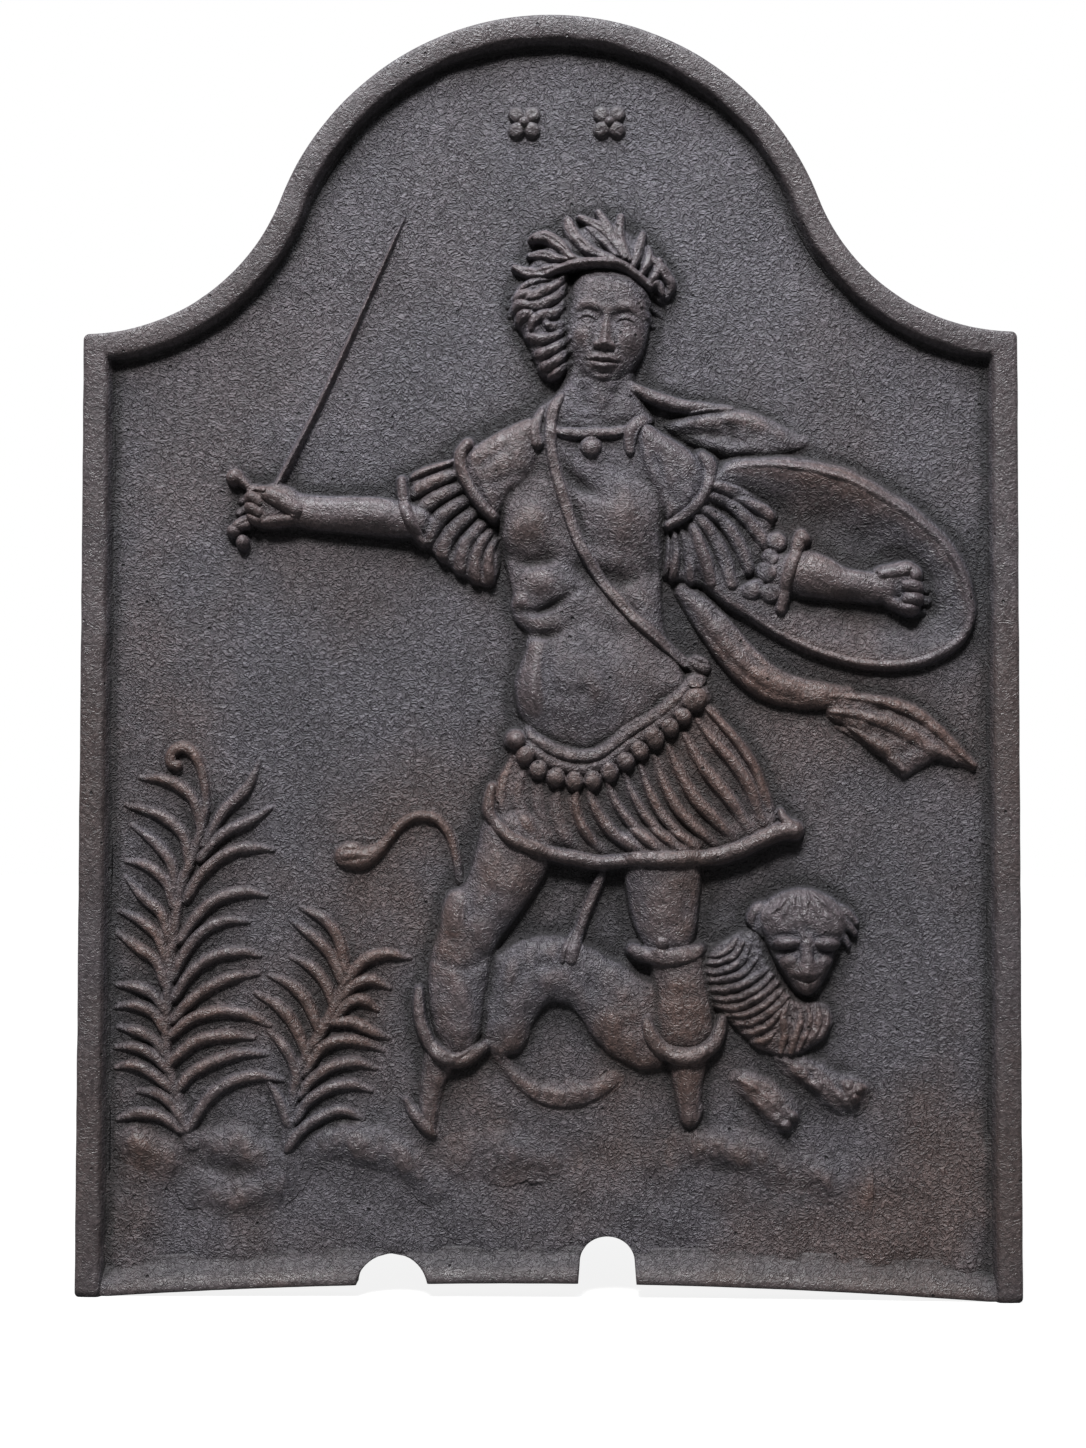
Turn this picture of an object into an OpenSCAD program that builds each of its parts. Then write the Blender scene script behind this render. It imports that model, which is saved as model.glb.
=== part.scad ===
// Cast-iron fireback with a raised rim, a swordsman and a lion in relief, and palms.
// The plate stands on its two bottom corners. The picture faces -Y, the back faces +Y,
// and the origin is in the middle of the bottom, halfway through the whole depth.

/* [Plate] */
// Width of the plate
plate_w = 470; // [440:5:560]
// Height of the plate at the top of the crown
plate_h = 644; // [630:2:760]
// Height of the two shoulders
shoulder_h = 482; // [460:2:500]
// Thickness of the plate behind the picture
plate_t = 12; // [8:0.5:25]
// Radius of the crown
crown_r = 145; // [125:1:150]
// How far the bottom edge arches up between the two corners
bottom_rise = 7.5; // [1:0.5:12]

/* [Rim] */
// Width of the flat top of the rim
rim_w = 12.5; // [8:0.5:18]
// Height of the rim above the field
rim_h = 7; // [4:0.5:9]
// Width of the sloping inner side of the rim
bevel_w = 4.5; // [2:0.5:8]

/* [Foot rail] */
// Height of the foot rail above the field
rail_h = 5.5; // [3:0.5:7]
// Height of the foot rail above the bottom edge
rail_w = 14; // [10:0.5:18]
// Width of the flat nose along the bottom edge
rail_nose = 3; // [2:0.5:5]

/* [Notches] */
// Place of the left notch across the plate
left_notch_x = -77; // [-120:1:-60]
// Width of the left notch at the bottom edge
left_notch_w = 38; // [30:1:50]
// Height of the top of the left notch
left_notch_h = 21.5; // [16:0.5:26]
// Place of the right notch across the plate
right_notch_x = 30; // [10:1:120]
// Width of the right notch at the bottom edge
right_notch_w = 29; // [20:1:40]
// Height of the top of the right notch
right_notch_h = 30.5; // [20:0.5:34]

/* [Relief] */
// Height of the head, the highest relief, above the field
head_relief = 16; // [12:0.5:20]
// Height of the body, limbs and dress, compared with the drawing
body_relief = 1; // [0.7:0.05:1.15]
// Height of the palms, compared with the drawing
palm_relief = 1; // [0.6:0.05:1.5]
// Radius of one petal of the two rosettes
petal_r = 4.2; // [3:0.1:6]
// Height of the two rosettes
rosette_h = 3.6; // [2:0.2:6]
// Distance between the two rosettes
rosette_gap = 43; // [30:1:60]
// Radius of the beads under the belt
bead_r = 4.1; // [3:0.1:4.6]

/* [Hidden] */

// Colours of the bare plate, of the low relief and of the rubbed high relief.
plate_iron = "#4e4a4d";
iron = "#57524f";
raised_iron = "#6b5f5a";

// The picture is drawn on a field of this size, and fitted whole to the field there is.
drawing_w = 436;
drawing_h = 619.5;
field_w = plate_w - 2 * (rim_w + bevel_w);
field_h = plate_h - rim_w - bevel_w - bottom_rise;
fit = min(field_w / drawing_w, field_h / drawing_h);

// The head's height in the drawing, to which the face is drawn.
drawn_head = 16;
head_k = head_relief / drawn_head;

back_y = (plate_t + head_relief) / 2;
face_y = back_y - plate_t;

// ---- helpers -------------------------------------------------------------------------

// Lays a picture drawn in x, height and rise on the front of the plate.
module on_field() {
    translate([0, face_y, 0])
        rotate([90, 0, 0])
            children();
}

// One pad: [x, height, radius, rise] and, where it lies on another piece, the level
// at which its upright sides end and its rounding starts.
module pad(p, k, sides) {
    r = p[2] * fit;
    wall = (len(p) > 4 ? p[4] : 0) * k;
    top = p[3] * k;
    translate([p[0] * fit, p[1] * fit, 0]) {
        cylinder(h = wall + 0.6 * (top - wall), r1 = r, r2 = 0.82 * r, $fn = sides);
        cylinder(h = top, r1 = r, r2 = 0, $fn = 4);
    }
}

// A raised line through a list of pads.
module stroke(pads, k = body_relief, sides = 6) {
    for (i = [0 : len(pads) - 2])
        hull() {
            pad(pads[i], k, sides);
            pad(pads[i + 1], k, sides);
        }
}

// Many raised lines.
module strokes(list, k = body_relief, sides = 6) {
    for (pads = list)
        stroke(pads, k, sides);
}

// A broad form through rows of [x left, x right, height, radius, rise].
module broad(rows, k = body_relief, sides = 8) {
    for (i = [0 : len(rows) - 2])
        hull()
            for (row = [rows[i], rows[i + 1]], x = [row[0], row[1]])
                pad([x, row[2], row[3], row[4]], k, sides);
}

// Separate round bosses, from a list of pads.
module bosses(pads, k = body_relief, sides = 8) {
    for (p = pads)
        hull()
            pad(p, k, sides);
}

// ---- plate, rim and foot -------------------------------------------------------------

// The hollow below each side of the crown is an arc about a point above the shoulder
// corner. It meets the crown's arc without a kink and the shoulder level.
crown_z = plate_h - crown_r;
crown_over_shoulder = crown_z - shoulder_h;
half_w = plate_w / 2;
hollow_r = (half_w ^ 2 + crown_over_shoulder ^ 2 - crown_r ^ 2)
    / (2 * (crown_r + crown_over_shoulder));
hollow_z = shoulder_h + hollow_r;
joint_angle = atan2(hollow_z - crown_z, half_w);
arc_steps = 16;
crown_steps = 30;

function inset_corner_angle(inset) = asin(inset / (hollow_r + inset));

// Outline from the bottom left corner over the crown to the bottom right one,
// drawn in from the edge by inset. Every inset gives the same number of points.
function hollow_points(inset) = [
    for (i = [0 : arc_steps])
        let (a0 = -90 + inset_corner_angle(inset), a = a0 + (joint_angle * -1 - a0) * i / arc_steps)
            [-half_w + (hollow_r + inset) * cos(a), hollow_z + (hollow_r + inset) * sin(a)]
];
function crown_points(inset) = [
    for (i = [1 : crown_steps - 1])
        let (a = 180 - joint_angle - (180 - 2 * joint_angle) * i / crown_steps)
            [(crown_r - inset) * cos(a), crown_z + (crown_r - inset) * sin(a)]
];
function mirrored(points) = [
    for (i = [len(points) - 1 : -1 : 0])
        [-points[i][0], points[i][1]]
];
function over_outline(inset) = concat(
    [[-half_w + inset, 0]],
    hollow_points(inset),
    crown_points(inset),
    mirrored(hollow_points(inset)),
    [[half_w - inset, 0]]
);

// Height of the bottom edge at x: level on the two corner feet, arched between them.
function bottom_z(x) = max(0, bottom_rise * (1 - (2 * x / field_w) ^ 2));
bottom_steps = 20;

module notch(x, w, top) {
    head_w = 0.94 * w;
    head_h = 0.45 * head_w;
    translate([x, 0])
        hull() {
            translate([0, top - head_h])
                scale([head_w / 2, head_h])
                    circle(r = 1, $fn = 32);
            translate([-w / 2, -1])
                square([w, bottom_rise]);
        }
}

module notches(rise) {
    linear_extrude(height = rise) {
        notch(left_notch_x, left_notch_w, left_notch_h);
        notch(right_notch_x, right_notch_w, right_notch_h);
    }
}

module back_plate() {
    foot_points = [
        for (i = [0 : bottom_steps])
            let (x = field_w * (0.5 - i / bottom_steps))
                [x, bottom_z(x)]
    ];
    color(plate_iron)
        on_field()
            translate([0, 0, -plate_t])
                difference() {
                    linear_extrude(height = plate_t)
                        polygon(concat(over_outline(0), foot_points));
                    translate([0, 0, -1])
                        notches(plate_t + 2);
                }
}

// Faces of a bar swept through rings of four points.
function bar_faces(rings) = concat(
    [[3, 2, 1, 0], [for (k = [0 : 3]) 4 * (rings - 1) + k]],
    [
        for (i = [0 : rings - 2], k = [0 : 3])
            [4 * i + k, 4 * i + (k + 1) % 4, 4 * i + 4 + (k + 1) % 4, 4 * i + 4 + k]
    ]
);

module rim_form() {
    edge = over_outline(0);
    crest = over_outline(rim_w);
    toe = over_outline(rim_w + bevel_w);
    points = [
        for (i = [0 : len(edge) - 1])
            for (p = [[edge[i], 0], [toe[i], 0], [crest[i], rim_h], [edge[i], rim_h]])
                [p[0][0], p[0][1], p[1]]
    ];
    polyhedron(points, bar_faces(len(edge)), convexity = 6);
}

module rim_moulding() {
    color(raised_iron)
        on_field()
            rim_form();
}

// The rail runs from bevel to bevel and follows the arched bottom edge.
module foot_rail() {
    ends = [for (rise = [0, rail_h]) field_w / 2 + bevel_w * rise / rim_h];
    points = [
        for (i = [0 : bottom_steps])
            let (t = 2 * i / bottom_steps - 1, low = t * ends[0], high = t * ends[1])
                for (p = [
                    [low, bottom_z(low), 0],
                    [high, bottom_z(high), rail_h],
                    [high, bottom_z(high) + rail_nose, rail_h],
                    [low, bottom_z(low) + rail_w, 0]
                ]) p
    ];
    color(raised_iron)
        on_field()
            difference() {
                polyhedron(points, bar_faces(bottom_steps + 1), convexity = 6);
                translate([0, 0, -1])
                    notches(rail_h + 2);
            }
}

// ---- rosettes ------------------------------------------------------------------------

// The pair of rosettes lies a little to the right of the plate's middle.
rosette_x = 9;
rosette_z = 590;
petals = 4;
petal_reach = 1.25 * petal_r;
heart_rise = 1;

module petal(rise) {
    hull() {
        cylinder(h = 0.5 * rosette_h, r1 = petal_r, r2 = 0.85 * petal_r, $fn = 12);
        cylinder(h = rise, r1 = petal_r, r2 = 1, $fn = 12);
    }
}

module rosette(x) {
    color(raised_iron)
        on_field()
            translate([x * fit, rosette_z * fit, 0]) {
                petal(rosette_h + heart_rise);
                for (i = [0 : petals - 1])
                    rotate([0, 0, 360 * i / petals])
                        translate([petal_reach, 0, 0])
                            petal(rosette_h);
            }
}

module left_rosette() {
    rosette(rosette_x - rosette_gap / 2);
}

module right_rosette() {
    rosette(rosette_x + rosette_gap / 2);
}

// ---- ground and palms ----------------------------------------------------------------

module ground_mounds() {
    color(iron)
        on_field()
            mounds_form();
}

module mounds_form() {
    broad([[-212, -192, 78, 5, 1.4], [-211, -190, 70, 6, 3], [-206, -192, 60, 6, 2]]);
    broad([[-164, -142, 79, 5, 1.6], [-164, -142, 70, 6, 3.4], [-160, -150, 54, 7, 1.6]]);
    broad([[-100, -70, 80, 5, 1.4], [-104, -66, 70, 5, 3.6], [-92, -64, 62, 4, 2.4]]);
    broad([[78, 104, 80, 5, 1.4], [74, 108, 71, 5, 3.4], [84, 104, 64, 4, 2.2]]);
}

// A leaflet is drawn from its tip to its root on the stem.
function leaflet(tip, bend, root) = [
    [tip[0], tip[1], 0.9, 1],
    [bend[0], bend[1], 2.6, 3.4],
    [root[0], root[1], 1.5, 2.2]
];

tall_stem = [
    [-178, 74, 4.5, 2.5], [-184, 92, 3.6, 3], [-190, 115, 3, 3.2], [-190, 145, 3, 3.4],
    [-188, 175, 2.8, 3.4], [-184, 203, 2.6, 3.2], [-177, 222, 2.4, 3.2], [-171, 242, 2.2, 3.2],
    [-171, 257, 2, 3], [-175, 268, 2.2, 3], [-182, 272, 2.4, 3.2], [-187, 268, 2.6, 3.6],
    [-185, 264, 3, 4]
];
tall_leaflets = [
    [[-205, 258], [-188, 255], [-175, 235]],
    [[-211, 243], [-193, 238], [-180, 217]],
    [[-209, 234], [-196, 224], [-184, 201]],
    [[-211, 216], [-197, 210], [-187, 194]],
    [[-211, 207], [-201, 196], [-189, 178]],
    [[-215, 191], [-202, 184], [-190, 165]],
    [[-216, 180], [-203, 171], [-191, 153]],
    [[-216, 153], [-203, 152], [-191, 141]],
    [[-216, 143], [-203, 143], [-191, 131]],
    [[-215, 133], [-203, 131], [-191, 119]],
    [[-216, 123], [-203, 123], [-190, 111]],
    [[-216, 113], [-203, 113], [-188, 101]],
    [[-206, 101], [-194, 99], [-181, 84]],
    [[-216, 88], [-203, 92], [-187, 91]],
    [[-145, 266], [-155, 249], [-172, 226]],
    [[-139, 243], [-156, 234], [-173, 219]],
    [[-138, 222], [-158, 221], [-179, 200]],
    [[-141, 200], [-162, 199], [-183, 178]],
    [[-150, 186], [-169, 183], [-187, 160]],
    [[-144, 169], [-166, 169], [-185, 150]],
    [[-145, 160], [-166, 154], [-186, 139]],
    [[-143, 136], [-164, 141], [-186, 130]],
    [[-147, 128], [-168, 129], [-188, 116]],
    [[-140, 120], [-164, 117], [-184, 103]],
    [[-134, 109], [-156, 108], [-177, 86]]
];
small_stem = [
    [-129, 74, 4, 2.5], [-128, 92, 3.4, 3], [-124, 112, 3, 3.2], [-113, 131, 3, 3.4],
    [-104, 148, 2.8, 3.4], [-101, 162, 1.8, 2.6]
];
small_leaflets = [
    [[-124, 193], [-109, 184], [-101, 162]],
    [[-128, 186], [-113, 174], [-103, 157]],
    [[-128, 168], [-115, 160], [-107, 145]],
    [[-139, 159], [-124, 149], [-114, 132]],
    [[-146, 150], [-129, 140], [-117, 121]],
    [[-137, 129], [-130, 121], [-125, 107]],
    [[-138, 102], [-133, 96], [-129, 86]],
    [[-69, 168], [-87, 169], [-100, 157]],
    [[-79, 153], [-91, 156], [-102, 149]],
    [[-84, 142], [-94, 146], [-104, 140]],
    [[-80, 128], [-94, 134], [-108, 136]],
    [[-82, 121], [-98, 127], [-118, 117]],
    [[-86, 112], [-102, 115], [-122, 104]],
    [[-88, 102], [-104, 104], [-125, 89]],
    [[-92, 88], [-107, 91], [-128, 77]]
];

module palm_form(stem, leaflets) {
    stroke(stem, palm_relief);
    for (leaf = leaflets)
        stroke(leaflet(leaf[0], leaf[1], leaf[2]), palm_relief);
}

module tall_palm() {
    color(iron)
        on_field()
            palm_form(tall_stem, tall_leaflets);
}

module small_palm() {
    color(iron)
        on_field()
            palm_form(small_stem, small_leaflets);
}

// ---- lion ----------------------------------------------------------------------------

module lion_body_form() {
    stroke([
        [-24, 134, 7, 4], [-16, 154, 13, 6], [4, 163, 15, 6.5], [24, 153, 15, 6.5],
        [40, 138, 14, 5.5], [50, 126, 9, 4]
    ], body_relief, 10);
}

module lion_body() {
    color(iron)
        on_field()
            lion_body_form();
}

module lion_hind_leg() {
    color(iron)
        on_field()
            difference() {
                stroke([[-29, 124, 4, 2.5], [-17, 111, 4.5, 3.4], [-3, 101, 5, 3.8], [12, 100, 6, 4], [27, 105, 5, 3]]);
                lion_body_form();
            }
}

module lion_tail_form() {
    strokes([
        [
            [-102, 218, 6.5, 5], [-91, 219, 6, 5], [-83, 224, 2.8, 3.6], [-76, 232, 2.2, 3.2], [-68, 238, 2.2, 3.2],
            [-60, 239, 2.2, 3.2], [-52, 234, 2.2, 3.2], [-47, 224, 2.2, 3], [-45, 208, 2, 2.4]
        ]
    ]);
}

module lion_tail() {
    color(iron)
        on_field()
            lion_tail_form();
}

module mane_form() {
    broad([[88, 104, 184, 7, 4], [84, 108, 166, 8, 5], [88, 112, 150, 8, 5.5], [100, 126, 134, 9, 5.5], [108, 122, 126, 7, 4]]);
    strokes([
        [[79, 175, 2, 6], [90, 178, 2.2, 7], [97, 184, 2, 6]],
        [[80, 168, 2, 6], [92, 170, 2.2, 7.4], [100, 178, 2, 6]],
        [[79, 162, 2, 6], [93, 162, 2.2, 7.4], [103, 171, 2, 6]],
        [[81, 155, 2, 6], [95, 155, 2.2, 7.4], [107, 164, 2, 6]],
        [[83, 149, 2, 6], [98, 148, 2.2, 7.4], [112, 159, 2, 6]],
        [[87, 143, 2, 6], [101, 142, 2.2, 7.4], [116, 154, 2, 6]],
        [[93, 138, 2, 6], [106, 137, 2.2, 7.4], [117, 147, 2, 6]],
        [[118, 147, 2, 6], [119, 135, 2.4, 7.4], [113, 123, 2, 5]],
        [[124, 146, 2, 6], [127, 134, 2.4, 7.2], [121, 122, 2, 5]],
        [[130, 144, 2, 6], [133, 133, 2.2, 6.6], [128, 124, 2, 5]],
        [[136, 141, 2, 5], [138, 133, 2, 5], [134, 127, 2, 4]],
        [[110, 139, 2, 6], [106, 131, 2.4, 7], [101, 126, 2, 5]]
    ]);
}

module lion_mane() {
    color(iron)
        on_field()
            difference() {
                mane_form();
                left_calf_form();
                left_boot_cuff_form();
            }
}

module lion_head_form() {
    broad([[118, 138, 200, 6, 8], [116, 140, 188, 10, 11], [118, 138, 174, 10, 12], [122, 136, 162, 7, 12], [127, 131, 155, 5, 9]]);
    strokes([
        [[106, 190, 4, 6], [113, 198, 4, 8]],
        [[149, 184, 4.5, 6], [143, 194, 4.5, 8]],
        [[111, 176, 3.5, 10], [119, 177, 4.5, 14], [124, 174, 3, 12.5]],
        [[134, 174, 3, 12.5], [139, 177, 4.5, 14], [147, 175, 3.5, 10]],
        [[129, 176, 3, 12.5], [129, 167, 3.5, 14.5], [129, 163, 4.5, 15.2]],
        [[123, 159, 2.5, 11], [129, 161, 3, 13.5], [135, 159, 2.5, 11]],
        [[126, 155, 2.4, 10.5], [132, 155, 2.4, 10.5]]
    ]);
}

module lion_head() {
    color(raised_iron)
        on_field()
            difference() {
                lion_head_form();
                mane_form();
            }
}

module lion_forelegs() {
    color(iron)
        on_field()
            difference() {
                strokes([
                    [[99, 108, 6, 5], [110, 98, 7, 6.5], [116, 92, 6, 6]],
                    [[112, 90, 2.6, 5], [120, 92, 2.8, 5]],
                    [[126, 116, 5.5, 4.5], [137, 108, 6.5, 5.5], [146, 102, 6, 5]],
                    [[150, 108, 3, 4.5], [153, 104, 3, 4]]
                ]);
                mane_form();
            }
}

// ---- legs ----------------------------------------------------------------------------

module right_thigh_form() {
    broad([[-22, -18, 224, 16, 8], [-27, -21, 208, 15, 9], [-37, -30, 190, 14, 9], [-40, -36, 178, 11, 8]]);
}

module right_thigh() {
    color(raised_iron)
        on_field()
            difference() {
                right_thigh_form();
                lion_body_form();
                lion_tail_form();
            }
}

module right_calf_form() {
    stroke([[-40, 166, 12, 6], [-39, 152, 12.5, 7.5], [-41, 137, 10, 7], [-43, 128, 6, 5.5]], body_relief, 8);
}

module right_calf() {
    color(iron)
        on_field()
            difference() {
                right_calf_form();
                right_thigh_form();
                lion_body_form();
            }
}

module right_boot_cuff_form() {
    stroke([
        [-61, 150, 2.2, 4], [-61, 140, 2.6, 6], [-57, 129, 3, 7], [-50, 120, 3, 7.5],
        [-42, 117, 3, 7.5], [-34, 120, 3, 7], [-28, 125, 2.6, 5]
    ]);
}

module right_boot_cuff() {
    color(raised_iron)
        on_field()
            difference() {
                right_boot_cuff_form();
                right_calf_form();
                lion_body_form();
                stroke([[-29, 124, 4, 2.5], [-17, 111, 4.5, 3.4]]);
            }
}

module right_boot() {
    color(iron)
        on_field()
            difference() {
                strokes([
                    [[-50, 118, 6, 5], [-54, 102, 5, 4], [-56, 88, 3.5, 3.4]],
                    [[-67, 99, 2, 3], [-61, 90, 3, 4.5], [-56, 83, 2.8, 4]]
                ]);
                right_boot_cuff_form();
                right_calf_form();
            }
}

module left_thigh_form() {
    broad([[52, 58, 216, 16, 8.5], [52, 60, 200, 15.5, 9.5], [55, 62, 184, 13, 9], [58, 62, 174, 13, 8]]);
}

module left_thigh() {
    color(raised_iron)
        on_field()
            difference() {
                left_thigh_form();
                lion_body_form();
            }
}

module left_calf_form() {
    broad([[60, 66, 166, 12, 6.5], [62, 68, 152, 12, 8], [64, 68, 138, 10, 7.5], [66, 70, 129, 6, 6]]);
}

module left_calf() {
    color(iron)
        on_field()
            difference() {
                left_calf_form();
                left_thigh_form();
                lion_body_form();
            }
}

module left_garter() {
    color(raised_iron)
        on_field()
            difference() {
                stroke([[45, 173, 3, 8], [52, 169, 3.6, 10.5, 4], [62, 167.5, 3.6, 11.5, 5], [70, 170, 3.6, 10.5, 4], [75, 175, 3, 8]]);
                left_thigh_form();
                left_calf_form();
                lion_body_form();
            }
}

module left_boot_cuff_form() {
    stroke([
        [50, 138, 2.4, 5], [54, 130, 3, 7], [61, 125, 3.2, 8], [69, 123, 3.2, 8.5],
        [77, 125, 3.2, 8], [84, 131, 3, 7], [88, 138, 2.4, 5]
    ]);
}

module left_boot_cuff() {
    color(raised_iron)
        on_field()
            difference() {
                left_boot_cuff_form();
                left_calf_form();
                lion_body_form();
            }
}

module left_boot() {
    color(iron)
        on_field()
            difference() {
                strokes([
                    [[70, 120, 9, 5.5], [71, 104, 6.5, 4.5], [72, 91, 3.5, 3.6]],
                    [[77, 97, 2.2, 3.4], [73, 89, 2.6, 4]]
                ]);
                left_boot_cuff_form();
                left_calf_form();
            }
}

module scabbard() {
    color(iron)
        on_field()
            difference() {
                strokes([
                    [[28, 214, 2.4, 4], [20, 193, 2.3, 4], [14, 178, 2.3, 5.5]],
                    [[14, 178, 2, 7], [10, 168, 1.8, 8]],
                    [[14, 178, 2, 7], [15, 168, 1.8, 8]]
                ]);
                lion_body_form();
            }
}

// ---- trunk and dress -----------------------------------------------------------------

module torso_form() {
    broad([
        [2, 44, 432, 10, 6], [-8, 46, 415, 14, 9], [-10, 43, 396, 15, 10], [-7, 42, 376, 15, 9.5],
        [0, 41, 352, 15, 8.5], [2, 45, 330, 15, 9], [4, 48, 305, 19, 10.5], [8, 40, 286, 17, 10], [12, 24, 273, 8, 8]
    ]);
}

module torso() {
    color(raised_iron)
        on_field()
            torso_form();
}

module neck_form() {
    broad([[18, 34, 462, 7, 5], [19, 33, 450, 8, 6.5], [10, 40, 436, 7, 7]]);
}

module neck() {
    color(raised_iron)
        on_field()
            difference() {
                neck_form();
                torso_form();
            }
}

module skirt_form() {
    broad([
        [70, 78, 288, 5, 4.5], [50, 90, 276, 6, 5.5], [-16, 98, 262, 7, 5.5], [-22, 106, 246, 7, 6],
        [-18, 112, 235, 6, 6], [4, 88, 225, 5, 6]
    ]);
    strokes([
        [[77, 292, 2.6, 6], [93, 277, 3.2, 8], [107, 257, 3, 7.5], [112, 242, 2.6, 6.5]],
        [[73, 287, 2.6, 6], [86, 271, 3.2, 8.5], [102, 248, 3, 8], [106, 236, 2.6, 7]],
        [[68, 282, 2.6, 6], [80, 265, 3.2, 8.5], [93, 245, 3, 8], [102, 233, 2.6, 7]],
        [[63, 276, 2.6, 6], [73, 256, 3.2, 8.5], [85, 239, 3, 8], [95, 228, 2.6, 7]],
        [[57, 272, 2.6, 6], [66, 252, 3.2, 8.5], [76, 236, 3, 8], [87, 226, 2.6, 7]],
        [[51, 268, 2.6, 6], [58, 250, 3.2, 8.5], [68, 234, 3, 8], [78, 225, 2.6, 7]],
        [[44, 264, 2.6, 6], [50, 247, 3.2, 8.5], [60, 232, 3, 8], [69, 224, 2.6, 7]],
        [[35, 260, 2.6, 6], [42, 245, 3.2, 8.5], [52, 231, 3, 8], [61, 223, 2.6, 7]],
        [[26, 256, 2.6, 6], [34, 242, 3.2, 8.5], [45, 229, 3, 8], [54, 222, 2.6, 7]],
        [[17, 253, 2.6, 6], [25, 240, 3.2, 8.5], [36, 228, 3, 8], [45, 222, 2.6, 7]],
        [[2, 254, 2.6, 6], [7, 239, 3, 7], [10, 225, 2.6, 6.5]],
        [[-9, 258, 2.6, 6], [-5, 242, 3, 7], [0, 228, 2.6, 6.5]],
        [[-21, 264, 2.4, 5.5], [-25, 250, 2.6, 6.5], [-20, 238, 2.4, 6]]
    ]);
}

module skirt() {
    color(iron)
        on_field()
            difference() {
                skirt_form();
                torso_form();
                right_thigh_form();
                left_thigh_form();
                scabbard_top();
            }
}

module scabbard_top() {
    stroke([[28, 214, 2.4, 4], [20, 193, 2.3, 4]]);
}

module skirt_hem() {
    color(raised_iron)
        on_field()
            difference() {
                stroke([
                    [-29, 247, 2, 6], [-27, 239, 2.6, 8], [-18, 231, 2.8, 9.5, 4], [-5, 224.5, 2.8, 10, 4],
                    [8, 221, 2.8, 10, 4], [25, 216, 2.8, 10, 4], [34, 218.5, 2.8, 10, 4], [50, 219, 2.8, 10, 4],
                    [66, 218.5, 2.8, 10.5, 4], [82, 220, 2.8, 10, 4], [96, 224.5, 2.8, 10, 4],
                    [110, 229.5, 2.8, 9, 3], [122, 232, 3, 7]
                ]);
                skirt_form();
                right_thigh_form();
                left_thigh_form();
                scabbard_top();
            }
}

module belt_form() {
    strokes([
        [
            [-14, 284, 2.6, 9], [-4, 276, 2.6, 11.5, 6], [8, 271.5, 2.6, 12, 8], [20, 270.5, 2.6, 12, 8],
            [33, 276, 2.6, 12.5, 8], [47, 285.5, 2.6, 12.5, 8], [60, 296, 2.6, 12, 7], [69, 306, 2.6, 11, 5]
        ],
        [
            [-11, 279, 2.6, 9], [0, 270, 2.6, 11, 6], [12, 266, 2.6, 11.5, 7], [22, 266, 2.6, 11.5, 7],
            [35, 271.5, 2.6, 12, 7], [49, 281, 2.6, 12, 7], [62, 291.5, 2.6, 11.5, 6], [70, 300, 2.6, 10.5, 5]
        ]
    ]);
}

module waist_belt() {
    color(raised_iron)
        on_field()
            difference() {
                belt_form();
                torso_form();
                skirt_form();
            }
}

bead_places = [
    [-15, 276], [-11, 269.5], [-4, 263.5], [4.5, 259], [13, 257.5], [22.5, 258.5], [30.5, 262.5],
    [38, 267], [45.5, 272], [52.5, 278], [60, 283.5], [66.5, 289]
];

module belt_beads() {
    large_bead = 1.45 * bead_r;
    color(raised_iron)
        on_field()
            difference() {
                bosses(concat(
                    [for (p = bead_places) [p[0], p[1], bead_r, 11.5, 7]],
                    [[72, 298, large_bead, 12, 5]]
                ));
                torso_form();
                skirt_form();
                belt_form();
            }
}

module baldric_form() {
    stroke([
        [6, 450, 2, 9], [2, 444, 2.6, 10.5, 5], [0, 434, 3, 12, 6], [1, 420, 3, 13, 8], [4, 405, 3, 13.5, 9],
        [9, 392, 3, 13.5, 9], [15, 378, 3, 13.5, 9], [23, 364, 3, 13, 8], [35, 350, 3, 12.5, 8],
        [48, 336, 3, 12.5, 8], [60, 324, 3, 12.5, 8], [67, 316, 3, 11.5, 6]
    ]);
}

module baldric() {
    color(raised_iron)
        on_field()
            difference() {
                baldric_form();
                torso_form();
                neck_form();
            }
}

module knot_form() {
    bosses([[74, 315, 5.5, 12, 4], [71, 308, 4, 11, 4]]);
}

module baldric_knot() {
    color(raised_iron)
        on_field()
            difference() {
                knot_form();
                torso_form();
                baldric_form();
                belt_form();
            }
}

module strap_forms() {
    strokes([
        [[-6, 440, 2.4, 8], [-6, 432, 3, 11, 5], [-5, 424, 3.6, 12, 6]],
        [[49, 438, 2.4, 8], [43, 433, 3.4, 11.5, 5], [41, 424, 3, 12, 6]]
    ]);
}

module collar() {
    color(raised_iron)
        on_field()
            difference() {
                strokes([
                    [[4, 431, 2.4, 10.5, 6], [20, 431, 2.6, 11, 7], [37, 432, 2.4, 10.5, 6]],
                    [[20, 430, 4.5, 11, 7], [20.5, 424, 4, 12.5, 8]]
                ]);
                torso_form();
                neck_form();
                baldric_form();
                strap_forms();
            }
}

// Keeps what lies on one side of the middle of the breast.
breast_x = 18;
module half_of_pair(side) {
    intersection() {
        children();
        translate([breast_x * fit - (side < 0 ? plate_w : 0), 0, 0])
            cube([plate_w, plate_h, head_relief]);
    }
}

module strap(side) {
    color(raised_iron)
        on_field()
            difference() {
                half_of_pair(side)
                    strap_forms();
                torso_form();
                neck_form();
                baldric_form();
            }
}

module right_strap() {
    strap(-1);
}

module left_strap() {
    strap(1);
}

// ---- shoulders, sleeves and arms -----------------------------------------------------

module right_shoulder_form() {
    broad([[-14, -10, 430, 7, 7], [-34, -10, 416, 8, 9.5], [-32, -14, 404, 8, 9.5], [-30, -24, 394, 6, 8]]);
}

module left_shoulder_form() {
    broad([[50, 54, 430, 7, 7.5], [52, 72, 417, 8, 10], [56, 73, 404, 8, 10], [60, 66, 393, 6, 8.5]]);
}

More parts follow.
